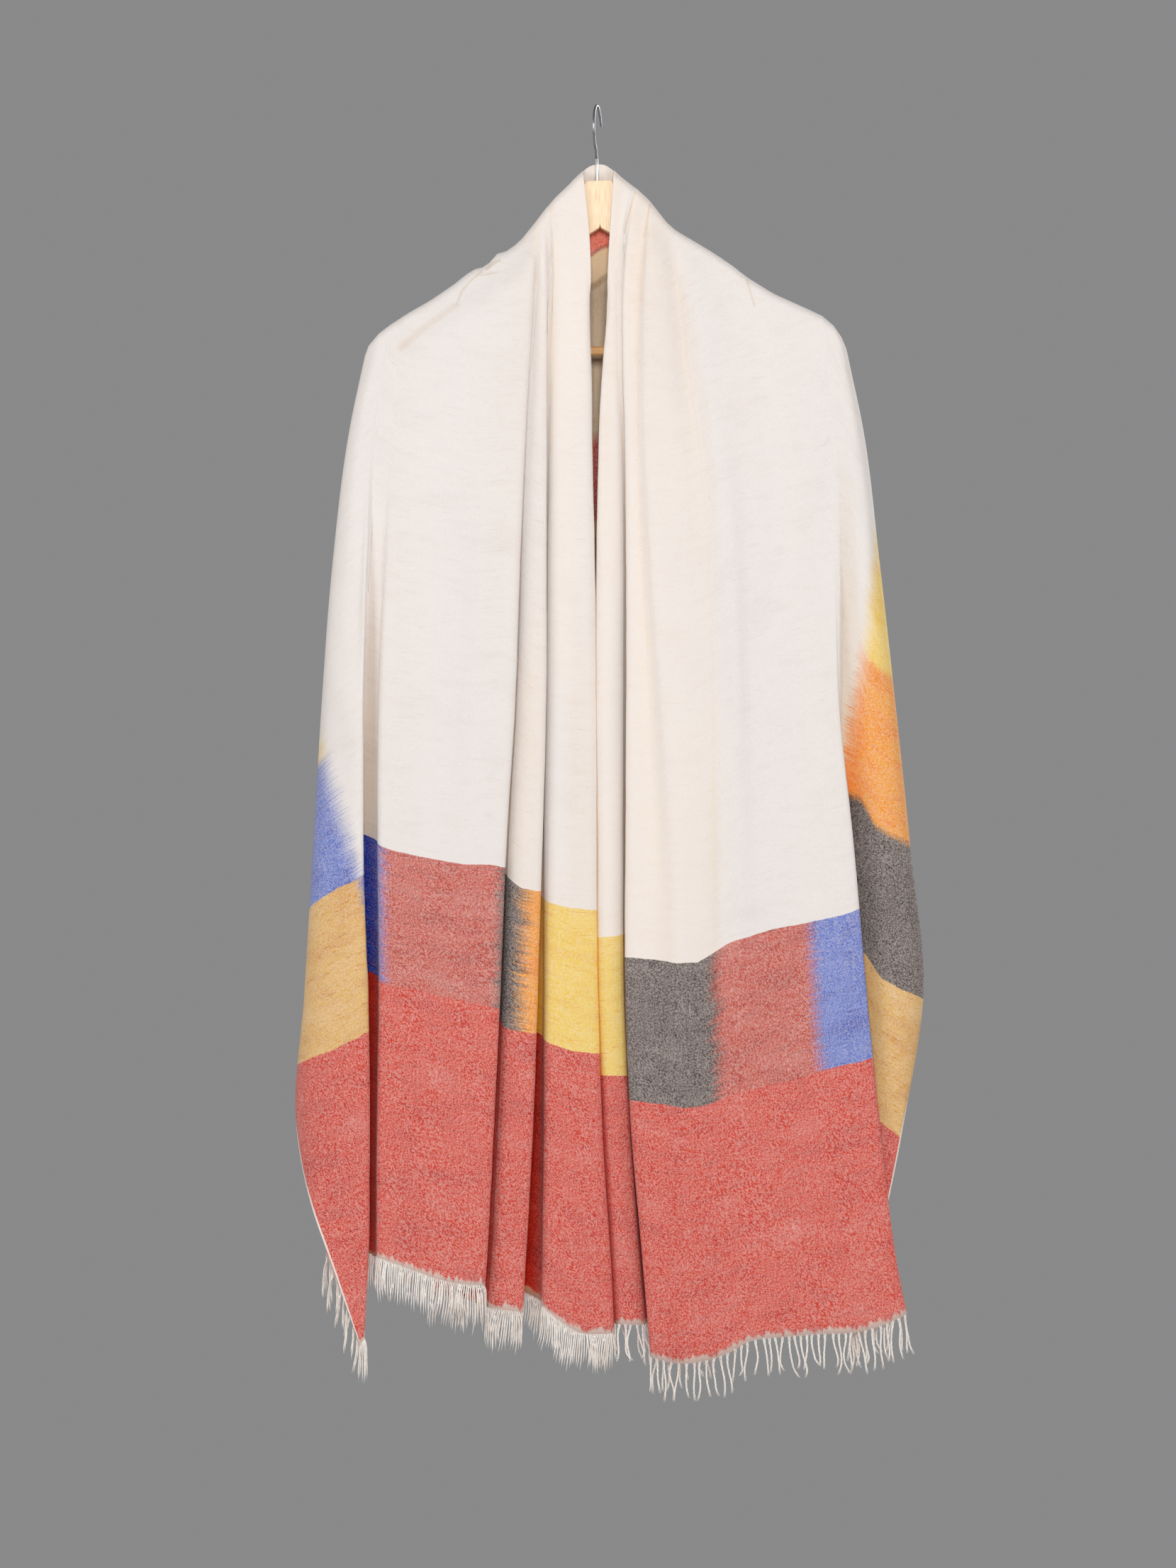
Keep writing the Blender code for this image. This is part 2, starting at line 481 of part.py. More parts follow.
def fringe_mesh(name, hem, slant):
    """Narrow strip under the hem, with a tapered strand drawn down from each of its cells."""
    total = np.linalg.norm(np.diff(hem, axis=0), axis=1).sum()
    pitch = STRAND_WIDE + STRAND_GAP
    count = int((total - STRAND_GAP) / pitch)
    stations = [STRAND_GAP / 2]
    for _ in range(count):
        stations += [stations[-1] + STRAND_WIDE, stations[-1] + pitch]
    line = along_line(hem, np.array(stations[:-1]))
    flow = np.gradient(line, axis=0)
    level_run = np.linalg.norm(flow[:, :2], axis=1)
    steep = np.linalg.norm(flow, axis=1) / level_run
    flow[:, 2] = 0
    flow /= level_run[:, None]
    sideways = np.stack([-flow[:, 1], flow[:, 0], np.zeros(len(flow))], axis=1)
    top = line.copy()
    top[:, 2] -= SEAM_GAP + HEM_SLACK * steep
    bottom = top - np.array([0, 0, STRIP_TALL])
    half = sideways * FRINGE_THICK / 2
    made = bmesh.new()
    rings = []
    for station in range(len(line)):
        corners = (top[station] + half[station], top[station] - half[station],
                   bottom[station] - half[station], bottom[station] + half[station])
        rings.append([made.verts.new(corner * MM) for corner in corners])
    made.faces.new(rings[0])
    made.faces.new(rings[-1][::-1])
    for station in range(len(line) - 1):
        first, second = rings[station], rings[station + 1]
        for side in (0, 1, 3):
            following = (side + 1) % 4
            made.faces.new((first[side], first[following], second[following], second[side]))
        root = (first[2], first[3], second[3], second[2])
        turned = flow[station] @ flow[station + 1]
        if station % 2 or turned < math.cos(SHARP_TURN):
            made.faces.new(root)
            continue
        draw_strand(made, root, flow[station], sideways[station], slant, station)
    bmesh.ops.recalc_face_normals(made, faces=made.faces)
    bmesh.ops.triangulate(made, faces=made.faces)
    mesh_data = bpy.data.meshes.new(name)
    made.to_mesh(mesh_data)
    made.free()
    return mesh_data


def draw_strand(made, root, flow, sideways, slant, number):
    """One strand: its root face carried down to a narrower middle and a fine end."""
    corners = [np.array(corner.co) / MM for corner in root]
    middle = sum(corners) / 4
    long = STRAND_LONG * (1 + STRAND_UNEVEN * unlike(number, 1))
    ring = list(root)
    for down, narrow, wave in STRAND_RINGS:
        drift = flow * (wave * unlike(number, 2) * STRAND_WAVER)
        drift += sideways * (STRAND_DEPTH * unlike(number, 3) * down)
        centre = middle + drift + np.array([slant * down * long, 0, -down * long])
        lower = [made.verts.new((centre + (corner - middle) * narrow * np.array([1, 1, 0])) * MM)
                 for corner in corners]
        for side in range(4):
            following = (side + 1) % 4
            made.faces.new((ring[side], ring[following], lower[following], lower[side]))
        ring = lower
    made.faces.new(ring)


def hanger_place(across, up):
    """Point of the hanger's own plane, tilted and set under the hook."""
    turned = HANGER_TILT
    x = across * math.cos(turned) - up * math.sin(turned)
    z = across * math.sin(turned) + up * math.cos(turned)
    return NECK_TOP[0] + x, NECK_TOP[1] + z


def build_arm(name, side, finish):
    """One arm: its outline as a face, drawn out to the board's thickness, edges eased."""
    outline = [(side * u, top) for u, top, bottom in ARM_PROFILE]
    outline += [(side * u, bottom) for u, top, bottom in reversed(ARM_PROFILE)]
    made = bmesh.new()
    corners = []
    for across, up in outline:
        x, z = hanger_place(across, up)
        corners.append(made.verts.new((x * MM, -ARM_THICK / 2 * MM, z * MM)))
    face = made.faces.new(corners)
    drawn = bmesh.ops.extrude_face_region(made, geom=[face])
    moved = [item for item in drawn["geom"] if isinstance(item, bmesh.types.BMVert)]
    bmesh.ops.translate(made, verts=moved, vec=(0, ARM_THICK * MM, 0))
    bmesh.ops.recalc_face_normals(made, faces=made.faces)
    mesh_data = bpy.data.meshes.new(name)
    made.to_mesh(mesh_data)
    made.free()
    arm = add_object(name, mesh_data, finish)
    ease = arm.modifiers.new("eased edges", "BEVEL")
    ease.width = ARM_BEVEL * MM
    ease.segments = 2
    ease.limit_method = "ANGLE"
    ease.angle_limit = BEVEL_ANGLE
    return arm


def build_bar(finish):
    """Round trouser bar between the arms' ends."""
    left = hanger_place(-BAR_HALF + SEAM_GAP, BAR_HEIGHT)
    right = hanger_place(BAR_HALF - SEAM_GAP, BAR_HEIGHT)
    return rod("hanger_bar", [(left[0], 0, left[1]), (right[0], 0, right[1])], BAR_RADIUS, finish)


def rod(name, points, radius, finish):
    """Round bar or wire along points, with closed ends."""
    path = bpy.data.curves.new(name, "CURVE")
    path.dimensions = "3D"
    path.bevel_depth = radius * MM
    path.bevel_resolution = 3
    path.use_fill_caps = True
    run = path.splines.new("POLY")
    run.points.add(len(points) - 1)
    for place, point in zip(run.points, points):
        place.co = (point[0] * MM, point[1] * MM, point[2] * MM, 1)
    return add_object(name, path, finish)


def build_hook(finish):
    """Wire hook, turned so that its bow stands nearly square to the arms."""
    centre = -HOOK_RADIUS + HOOK_WIRE
    points = [(0, NECK_TOP[1] + SEAM_GAP), *HOOK_STEM]
    for step in range(BOW_STEPS + 1):
        angle = BOW_START + (BOW_END - BOW_START) * step / BOW_STEPS
        points.append((HOOK_RADIUS * math.cos(angle), centre + HOOK_RADIUS * math.sin(angle)))
    path = []
    for forward, height in points:
        x = forward * math.sin(HOOK_TURN) + STEM_ACROSS
        path.append((x, forward * math.cos(HOOK_TURN), height))
    return rod("hook", path, HOOK_WIRE, finish)


def build():
    clear_scene()
    wool = material("undyed_wool")
    fringe_wool = material("fringe_wool")
    wood = material("pale_wood")
    chrome = material("chrome_wire")
    build_hook(chrome)
    build_arm("hanger_arm_left", LEFT, wood)
    build_arm("hanger_arm_right", RIGHT, wood)
    build_bar(wood)
    left = front_surface(LEFT_COLUMNS, LEFT_LINES, LEFT)
    right = front_surface(RIGHT_COLUMNS, RIGHT_LINES, RIGHT)
    add_object("shawl_front_left", wall_mesh("shawl_front_left", left, CLOTH_WALL, [-1]), wool)
    add_object("shawl_front_right", wall_mesh("shawl_front_right", right, CLOTH_WALL, [-1]), wool)
    back = back_surface()
    add_object("shawl_back", wall_mesh("shawl_back", back, CLOTH_WALL, [0, -1]), wool)
    add_object("fringe_left", fringe_mesh("fringe_left", left[-1], FRINGE_SLANT[LEFT]), fringe_wool)
    add_object("fringe_right", fringe_mesh("fringe_right", right[-1], FRINGE_SLANT[RIGHT]), fringe_wool)


build()
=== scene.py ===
import math

import bmesh
import bpy
import numpy as np
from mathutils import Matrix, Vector


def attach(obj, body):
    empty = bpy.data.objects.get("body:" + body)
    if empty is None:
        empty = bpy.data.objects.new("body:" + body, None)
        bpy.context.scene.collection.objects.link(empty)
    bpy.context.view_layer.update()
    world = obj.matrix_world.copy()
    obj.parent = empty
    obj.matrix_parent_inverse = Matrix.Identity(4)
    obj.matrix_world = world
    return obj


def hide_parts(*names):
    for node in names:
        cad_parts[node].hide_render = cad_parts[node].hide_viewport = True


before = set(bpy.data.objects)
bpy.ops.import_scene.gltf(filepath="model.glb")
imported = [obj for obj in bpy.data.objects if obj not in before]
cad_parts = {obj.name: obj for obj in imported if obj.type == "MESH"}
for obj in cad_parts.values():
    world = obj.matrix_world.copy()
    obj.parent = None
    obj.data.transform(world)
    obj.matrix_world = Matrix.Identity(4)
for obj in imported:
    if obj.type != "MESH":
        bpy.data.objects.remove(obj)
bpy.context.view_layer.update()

MM = 0.001
LEFT = -1
RIGHT = 1

# The photograph's frame is 2212 pixels tall, and a pixel at the cloth's front is 0.62 mm.
# The rod's top is at 843.5 across and 146 down, the middle of the frame at 829.5 and 1106.
PIXEL = 0.62 * MM
FRAME_TALL = 2212 * PIXEL
CAMERA_AWAY = 3.5
CAMERA_ACROSS = (829.5 - 843.5) * PIXEL
CAMERA_HEIGHT = (146 - 1106) * PIXEL
CLOTH_FRONT = -0.02
SENSOR = 36

# The shawl's cut, in metres: along the weft and along the warp, without the fringe.
SHAWL_WIDE = 0.71
SHAWL_LONG = 2.08

# Where the colour bands of each end stop, along the warp from the hem, in metres.
END_BAND = 0.240
BLOCK_ROW = 0.365

# Heights below the rod at which every fold line is given, in millimetres as all tables are.
# A table over them that stops early keeps its last value from there down.
LEVELS = (-60, -120, -180, -220, -280, -400, -530, -650, -780, -900, -1030, -1100)

LEFT_LINES = {
    "opening": (-13, -7, -6, -6, -6, -3.5, -2, -1.5, 0.7, 4.4, 13.2, 16.3),
    "b_left": (-48.4, -41.2, -40.4, -41, -41.8, -43.4, -44.4, -46.4, -46.4, -47, -48.5, -49.5),
    "a_right": (-51, -43.5, -42.5, -43, -44, -45.5, -46.5, -49.5, -53.5, -57.5, -64, -67.5),
    "a_left": (-56.6, -51.8, -54.4, -57, -60.9, -66.4, -70.8, -78, -82.6, -87, -93.4, -99.2),
    "m_right": (-59, -54, -56.5, -59, -63, -68.5, -73, -80.5, -85.5, -91.5, -98.5, -104.5),
    "m_left": (-172, -172, -173, -175, -179.5, -185, -190, -190, -189, -191, -191.5),
    "flap": (-179.5, -179.5, -182.5, -188, -197, -203, -205, -203.5, -200, -199, -200.5, -203.5),
    "side": (-190, -192, -196, -204.5, -217.5, -233, -243, -250, -258, -264.5, -225, -200),
}

RIGHT_LINES = {
    "opening": (14, 10, 7, 4.5, 2, 0.5, -0.5, 0.5, 1.7, 7.3, 15.3, 18.2),
    "d_left": (35, 24, 20.5, 21, 23, 25, 25, 24.5, 25, 30.5, 40.5, 46),
    "ripple": (49, 42.5, 40, 40, 40.5, 46.5, 55.5, 63, 68, 73, 77, 78.5),
    "dent": (57, 66, 75, 79, 87.5, 98, 101.5, 103, 103.5, 107.5, 117, 123),
    "d_right": (197.5, 197.5, 198, 200, 203.5, 208, 212, 224, 235, 247, 263.5, 279.5),
    "fold_back": (199.5, 199.5, 200, 202, 205.5, 211, 211, 205, 204, 211, 219, 222),
    "side": (206, 209, 212, 219.5, 232.5, 247.5, 262, 274.5, 286, 266.5, 240, 227),
    "tucked": (14, 10, 7, 4.5, 2, -1.0, -4.5, -6, -5.5, 0, 8, 11),
}

# How far layer 0 of a front lies before the hanger's middle, and what each layer adds to that.
FRONT_BASE = (9.5, 10.6, 11, 11, 11.5, 12.5, 14, 15, 15.5, 16, 16.5, 17)
LAYER_GAP = (3.0, 3.0, 3.2, 3.4, 3.8, 4.5, 5, 5.4, 5.6, 5.8, 6)

# The layer that a column lies in, where it changes with height.
RELIEF = {
    "on_board": (0,),
    "b_turn": (0, 0, 0, 0, -0.3, -0.8, -1.2, -1.5, -1.6),
    "b_floor": (0, 0, 0, 0, -0.5, -1.4, -2.1, -2.5, -2.7, -2.8),
    "a_hidden_low": (0.1, 0.1, 0.1, 0.1, -0.1, -0.7, -1.2, -1.5, -1.7, -1.8),
    "a_hidden_turn": (0.5, 0.5, 0.5, 0.5, 0.4, 0.1, -0.3, -0.6, -0.8, -0.9),
    "a_hidden_top": (0.9, 0.9, 0.9, 0.9, 0.9, 0.7, 0.4, 0.2, 0.1),
    "a_turn": (2, 2, 2, 2, 1.9, 1.6, 1.4, 1.3),
    "a_floor": (2, 2, 2, 2, 1.8, 1.4, 1.1, 0.9, 0.8),
    "m_hidden_low": (2.1, 2.1, 2.1, 2.1, 1.9, 1.6, 1.3, 1.1, 1),
    "m_hidden_turn": (2.5, 2.5, 2.5, 2.5, 2.3, 2, 1.8, 1.7),
    "m_hidden_top": (2.9, 2.9, 2.9, 2.9, 2.8, 2.6, 2.5, 2.4),
    "ripple_valley": (2, 1.9, 1.9, 1.9, 1.9, 1.9, 1.9, 2, 2.2, 2.5, 2.8, 3),
    "ripple_top": (2.2, 2.9, 3.1, 3.1, 3.1, 3.1, 3.2, 3.2, 3.2, 3.2, 3.4, 3.6),
    "c_hidden": (-1.35, -1.35, -1.35, -1.35, -1.4, -1.8, -2.3, -2.6, -2.7),
    "c_low": (-1, -1, -1, -1, -1.1, -1.6, -2.2, -2.5, -2.6),
    "c_tuck": (-0.6, -0.6, -0.6, -0.6, -0.7, -1.2, -1.9, -2.2, -2.3),
    "c_turn": (-0.3, -0.3, -0.3, -0.3, -0.3, -0.4, -0.6, -0.7),
    "m_turn": (2.7,),
    "m_floor": (1,),
    "side_turn": (-0.9,),
    "side_floor": (-1.2,),
    "dent_valley": (1.9, 1, 0.3, 0.4, 1, 1.6, 1.8, 1.9, 2, 2.1, 2.2),
    "dent_top": (1.6, 1.8, 2, 2.1, 2.4, 2.6, 2.6, 2.6, 2.5, 2.4, 2.3),
    "d_outer": (0.2, 0.6, 0.9, 1.1, 1.4, 1.8, 2.1, 2.3, 2.4),
    "d_edge": (0.1, 0.2, 0.4, 0.6, 1, 1.5, 1.9, 2.1),
    "flap_front": (0.4, 0.8, 1.6, 2, 2.6, 3.6, 4.6, 5),
    "flap_middle": (0.2, 0.5, 1.2, 1.5, 2, 2.8, 3.6, 4, 4.2, 4.4, 4.8, 5),
    "m_outer": (1, 1.8, 2.8, 3.2, 3.6, 4, 4.1),
    "m_edge": (0.6, 1.2, 2, 2.4, 3, 3.8, 4),
}

# Painted fold shade: how strongly the columns of these layers, lying in a fold, are darkened and warmed, as
# shade in the fold would make them.
FOLD_SHADE_STARTS = (0.1, 0.1, 0.1, 0.15, 0.2, 0.25, 0.3, 0.4, 0.5)
FOLD_SHADE_GROWS = (0.3, 0.3, 0.3, 0.35, 0.4, 0.5, 0.6, 0.8, 1)
FOLD_SHADE = {
    "b_turn": FOLD_SHADE_STARTS,
    "b_floor": FOLD_SHADE_GROWS,
    "a_turn": FOLD_SHADE_STARTS,
    "a_floor": FOLD_SHADE_GROWS,
    "c_low": (0, 0, 0, 0, 0, 0.4, 0.8, 1),
    "c_tuck": (0, 0, 0, 0, 0, 0.4, 0.8, 1),
    "c_turn": (0, 0, 0, 0, 0, 0.1, 0.3, 0.5),
    "m_turn": (0, 0, 0, 0, 0, 0.12, 0.4, 0.6, 0.65),
    "m_floor": (0, 0, 0, 0, 0, 0.2, 0.6, 0.9, 1),
    "side_turn": (0, 0, 0, 0, 0.1, 0.5, 0.8, 1),
    "side_floor": (0, 0, 0, 0, 0.1, 0.35, 0.4, 0.35),
    "ripple_valley": (0.4, 0.4, 0.35, 0.3, 0.28, 0.26, 0.24, 0.22, 0.2),
    "dent_valley": (0.1, 0.3, 0.4, 0.4, 0.3, 0.25, 0.3, 0.4, 0.35, 0.15, 0),
}

# Each pleat: the height where it starts and where it is fully laid. Above their start the layers of
# some lie together in one relief, and they part from it over the drop that comes last.
PLEATS = {
    "turned_edge": (-150, -270, "on_board", 70),
    "a_pleat": (-116, -330, None, 0),
    "m_pleat": (-128, -345, None, 0),
    "flap_pleat": (-350, -900, "flap_front", 240),
    "d_pleat": (-96, -300, None, 0),
    "side_pleat": (-400, -800, "d_edge", 200),
}
# The share of that drop that is already done at the start.
EARLY_PART = 0.25

# Distance across the weft, from the selvedge at the neck, of columns where it changes with height.
WEFT = {
    "left_apex": (462, 462, 462, 462, 462, 465, 486, 505, 528, 552, 572, 582),
    "left_flap": (474, 474, 474, 474, 474, 474, 516, 552, 599, 646, 686, 704),
    "left_side": (504, 504, 504, 504, 504, 504, 556, 605, 660, 710),
    "right_back": (498, 498, 498, 498, 498, 515, 549, 570, 615, 655, 690, 705),
    "right_side": (510, 511, 512, 515, 524, 577, 614, 650, 700, 710),
}

# The columns of a front from the opening to the side. A heading names two lines and a pleat. A row
# under it lies at its share of the way from one line to the other, moved outwards by "shut" above the
# pleat and by "lapped" where that is laid. "hem" is the height where it ends, "band" and "row" those
# where the end band and the block row end. "weft" is its distance from the neck selvedge: a number,
# one of WEFT and an offset, or two of WEFT and a share. "reach" is how much of its depth it keeps
# above the free edge.
COLUMN_FIELDS = ("share", "shut", "lapped", "layer", "hem", "weft", "band", "row", "reach")

LEFT_COLUMNS = (
    ("opening", "opening", "turned_edge"),
    (0, 0, 20, -1.6, -1072, 0, -833, -707),
    (0, 1.2, 2.4, -1.35, -1076, 18, -831.4, -705.6),
    (0, 2.4, 0, -0.85, -1077.5, 21, -831.4, -705.6),
    (0, 3.6, 1.4, -0.3, -1077.5, 23, -831.4, -705.6),
    (0, 5.2, 5.2, 0.1, -1077.5, 27, -831.2, -705.4),
    ("opening", "b_left", "a_pleat"),
    (0.5, 0, 0, 0.2, -1076, 44, -829, -704),
    ("b_left", "b_left", "a_pleat"),
    (0, -1.5, 0, 0, -1053, 66, -819.6, -697),
    (0, -1, 1.3, "b_turn", -1050, 68.5, -817, -695.5),
    ("a_right", "a_left", "a_pleat"),
    (0, -4, 2.2, "b_floor", -1042, 72, -812, -692),
    (0, -3.2, 58, "a_hidden_low", -1036, 138, -800, -680),
    (0, -2, 62, "a_hidden_turn", -1036, 144, -800, -680),
    (0, -0.8, 58, "a_hidden_top", -1037, 150, -800, -680),
    (0, 0.4, 3.5, 1.15, -1057, 217, -812, -689),
    (0, 1.5, 0, 1.55, -1057.5, 221, -813, -689),
    (0, 2.8, 3.2, 1.95, -1057, 225, -812.8, -689),
    (0.55, 0, 0, 2.1, -1055, 238, -811, -686),
    ("a_left", "a_left", "m_pleat"),
    (0, -1, 0, 2, -1053, 251, -806.6, -676),
    (0, -0.4, 1.1, "a_turn", -1052, 253.5, -804, -674.5),
    ("m_right", "m_left", "m_pleat"),
    (0, -4, 2.2, "a_floor", -1050, 257, -800, -672),
    (0, -3.2, 42, "m_hidden_low", -1040, 295, -792, -665),
    (0, -2, 46, "m_hidden_turn", -1040, 301, -792, -665),
    (0, -0.8, 42, "m_hidden_top", -1039, 307, -792, -665),
    (0, 0.4, 3.5, 3.15, -1033, 346, -790, -667),
    (0, 1.5, 0, 3.55, -1033, 350, -790.5, -667.7),
    (0, 2.8, 3.2, 3.95, -1032.5, 354, -790.5, -667.5),
    (0.35, 0, 0, 4.1, -1029, 388, -783, -665),
    (0.7, 0, 0, "m_outer", -1018, 422, -774, -658),
    ("m_left", "m_left", "flap_pleat"),
    (0, 0, 0, "m_edge", -1007.5, 453, -767, -648),
    (0, 0.9, 1.8, "m_turn", -1007, 455.5, -763, -645),
    ("flap", "side", "flap_pleat"),
    (0, -6, 3, "m_floor", -1006, 458, -758, -640),
    (0, -4.8, 34, 0.5, -1006, ("left_apex", -3), -752, -635),
    (0, -3.6, 38, 1.2, -1008, ("left_apex", 0), -752, -635),
    (0, -2.4, 34, 2.3, -1014, ("left_apex", 3), -765, -645),
    (0, -1.2, 3.5, 4.1, -1075, ("left_flap", -4), -808, -672),
    (0, 0, 0, 4.5, -1076.5, ("left_flap", 0), -810, -674),
    (0.07, 0, 0, "flap_front", -1078, ("left_flap", 4), -812, -675.5),
    (0.5, 0, 0, "flap_middle", -1081, ("left_flap", "left_side", 0.5), -827, -686.5, 0.98),
    (0.84, 0, 0, "flap_middle", -1082, ("left_flap", "left_side", 0.84), -836, -698, 0.72),
    (0.96, 0, 0, "flap_middle", -1082.5, ("left_flap", "left_side", 0.96), -840, -703, 0.36),
    ("side", "side", "flap_pleat"),
    (0, 0, 0, "flap_middle", -1083, ("left_side", 0), -842.5, -705.6, 0),
)

RIGHT_COLUMNS = (
    ("opening", "opening", "turned_edge"),
    (0, 0, 26, "c_hidden", -1064, 0, -849, -729),
    ("tucked", "tucked", "turned_edge"),
    (0, 1.2, 2.4, "c_low", -1066, 62, -850.6, -729.7),
    (0, 2.4, 0, "c_tuck", -1067.5, 66, -850.6, -729.7),
    ("opening", "opening", "turned_edge"),
    (0, 3.3, 0.4, "c_turn", -1068.5, 74, -850.6, -729.7),
    (0, 4.2, 3, 0, -1068.5, 77, -850.6, -729.7),
    ("opening", "d_left", "d_pleat"),
    (0.55, 0, 0, 0.1, -1069, 90, -850.6, -728.5),
    ("d_left", "ripple", "d_pleat"),
    (0, -3.2, -3.2, -0.1, -1069, 103, -850.6, -727),
    (0, -2.4, -1.9, "b_turn", -1069, 105.5, -850.4, -727),
    (0, -1.6, 2.4, "b_floor", -1069, 110, -850, -727),
    (0, -3.2, 50, "a_hidden_low", -1075, 165, -855, -735),
    (0, -2, 54, "a_hidden_turn", -1078, 172, -855, -735),
    (0, -0.8, 50, "a_hidden_top", -1080, 179, -855, -735),
    (0, 0.4, 3.5, 1.15, -1095, 264, -870, -745),
    (0, 1.5, 0, 1.55, -1096, 269, -871.7, -746.5),
    (0, 2.8, 3.2, 2.05, -1096.5, 274, -871.7, -746.5),
    (0.7, 5, 0, "ripple_valley", -1100, 303, -875, -749),
    ("ripple", "dent", "d_pleat"),
    (0, 1.5, 1.5, "ripple_top", -1099.5, 318, -877.5, -751.5),
    (0.55, 0, 0, 2.6, -1096, 338, -876, -751),
    ("dent", "d_right", "d_pleat"),
    (0, -1, -1, "dent_valley", -1088, 354, -872, -742),
    (0, 7, 9, "dent_top", -1082, 364, -868, -735),
    (0.4, 0, 0, "d_outer", -1076, 413, -856, -721.5),
    (0.75, 0, 0, "d_outer", -1072, 464, -842, -713),
    ("d_right", "d_right", "side_pleat"),
    (0, -3, -3, "d_edge", -1059, 496, -835, -705),
    (0, -1.2, 0, 1.7, -1057, 498, -833, -704),
    (0, 0.2, -3.5, 1.3, -1058, 500, -833, -704),
    ("fold_back", "side", "side_pleat"),
    (0, -0.6, 4, 0.9, -1066, ("right_back", -3), -870, -733),
    (0, 0.6, 0, 0.4, -1068, ("right_back", 0), -880, -735),
    (0, 1.8, 3, "side_turn", -1070, ("right_back", 3), -880, -734),
    (0.38, 0, 0, "side_floor", -1075, ("right_back", "right_side", 0.38), -884, -744),
    (0.55, 0, 0, -0.4, -1076, ("right_back", "right_side", 0.55), -888, -766),
    (0.75, 0, 0, 0, -1078, ("right_back", "right_side", 0.75), -896, -775, 0.9),
    (0.92, 0, 0, -0.1, -1079.5, ("right_back", "right_side", 0.92), -903, -781, 0.55),
    ("side", "side", "side_pleat"),
    (0, 0, 0, -0.1, -1080, ("right_side", 0), -906, -784, 0),
)

# The shoulder line: across, height and depth.
RIDGE = (
    (-204.5, -220.5, 0), (-201, -211.5, 0), (-192.5, -201.5, 0), (-182, -193.5, 0),
    (-166.5, -183.5, 0), (-147, -172.5, 0), (-125, -157.5, 0), (-118, -151.6, 0),
    (-111.3, -146.9, 0), (-105.7, -144.2, 0), (-98.9, -143.2, 0), (-94.2, -138.5, 0),
    (-92.3, -134, 0), (-88.4, -131.7, 0), (-82.8, -130.8, 0), (-78, -128, 0), (-71.9, -123.6, 0),
    (-66.5, -118.5, 0), (-54, -103, 0), (-46, -92.5, 0), (-36, -81, 0.5), (-27, -72.5, 2.5),
    (-19, -63.5, 6.5), (-12, -57, 10.5), (-9, -54, 12), (-3.5, -51.5, 13.5), (1.5, -51, 13.5),
    (7, -52, 12.5), (13.5, -57, 10), (22.5, -65.5, 5.5), (35, -75.5, 1), (45, -85, 0),
    (60, -104, 0), (68.5, -111.5, 0), (86.5, -122, 0), (101.5, -131, 0), (118, -142, 0),
    (130.5, -152, 0), (154, -166.5, 0), (182, -179, 0), (197, -186, 0), (207, -194.5, 0),
    (213.5, -204, 0), (218, -214, 0), (219.5, -220, 0),
)
# The shoulder line is this share further from the camera than the fronts. The top of a front is
# lifted on to it, easing out over LIFT_DEEP, and turns over it within RIDGE_DROP.
BEYOND = 0.0057
LIFT_DEEP = 70
RIDGE_DROP = 9
# The heights between which the top of a column is looked for.
TOP_RANGE = (-260, -50)
TOP_HALVINGS = 40

# Rows of the cloth: drops below the shoulder line, then rows that fronts and back share down to the
# end of the back at each side, then rows of the front alone.
TOP_ROWS = (0, 1.2, 2.6, 4.4, 6.6, 9)
SHARED_ROWS = 84
ROW_GROWTH = 1.15
BACK_ENDS = {LEFT: -897, RIGHT: -806}
FREE_ROWS = {LEFT: 20, RIGHT: 30}
# Below the end of the back a side edge is free, and comes forward between these heights.
FREE_EDGE = {LEFT: (-890, -985), RIGHT: (-800, -930)}
# The layers and folds of a front grow over this drop, and its cells are about this wide.
LAYERS_PART = 45
CELL = 5.6

# The hem of the back by its share from left to right, and how far it lies behind by height.
BACK_HEM = ((-1, -897), (-0.6, -846), (-0.25, -778), (0, -750), (0.3, -762), (0.7, -796), (1, -806))
BACK_DEPTH = ((-900, 32), (-800, 30), (-600, 24), (-400, 17), (-220, 11), (-150, 10.5), (-50, 10))
# Flutes of the back: place and half width as shares, depth, and the height where each starts.
BACK_FLUTES = (
    (-0.78, 0.10, 13, -300), (-0.45, 0.12, 19, -190), (-0.1, 0.11, 16, -240),
    (0.22, 0.12, 20, -200), (0.55, 0.12, 17, -210), (0.84, 0.08, 11, -320),
)
FLUTES_FULL = -800
# Shares of the back that round off to its sides, and that take on the weave of the fronts.
BACK_SIDE_ROUND = 0.12
SIDE_PART = 0.3
# Over this drop the columns of the back leave the pleats, and go this part of the way to even spacing.
EVEN_DEEP = 120
EVEN_PART = 0.4
# Below the neck the back slumps in a shallow cowl: extra depth by height, and its half width.
COWL = ((-420, 0), (-330, 5), (-260, 13), (-200, 20), (-172, 17), (-158, 8), (-148, -1),
        (-120, -1.5), (-60, 0))
COWL_WIDE = 75
# Cells across the neck, and the drop over which the depth of the shoulder line there eases out.
COLLAR_CELLS = 10
NECK_EASES = 900

CLOTH_THICK = 0.0007
# Ripples over the whole cloth: depth, seed and the size of their patches in metres.
RIPPLES = ((0.55, 3, 0.024, 0.26), (0.22, 5, 0.011, 0.12), (0.10, 8, 0.009, 0.02))
# None in the first rows, then they grow over more rows, and over some cells from each edge.
STILL_ROWS = 3
RIPPLE_ROWS = 14
SIDE_CELLS = 6
OPENING_CELLS = 4
# The wide panel of each front, across the weft in metres, and its broad soft waves.
WIDE_PANEL = {LEFT: (0.352, 0.452), RIGHT: (0.366, 0.494)}
PANEL_FADE = 0.018
WAVES = (13, 0.021, 0.55)
WAVES_START = -170
WAVES_GROW = 300
WAVE_DEEP = 1.1


def smooth(value):
    held = np.clip(value, 0, 1)
    return held * held * (3 - 2 * held)


def arc(value):
    """Steep at nought and level at one, as a quarter of a circle."""
    return np.sqrt(1 - (1 - np.clip(value, 0, 1)) ** 2)


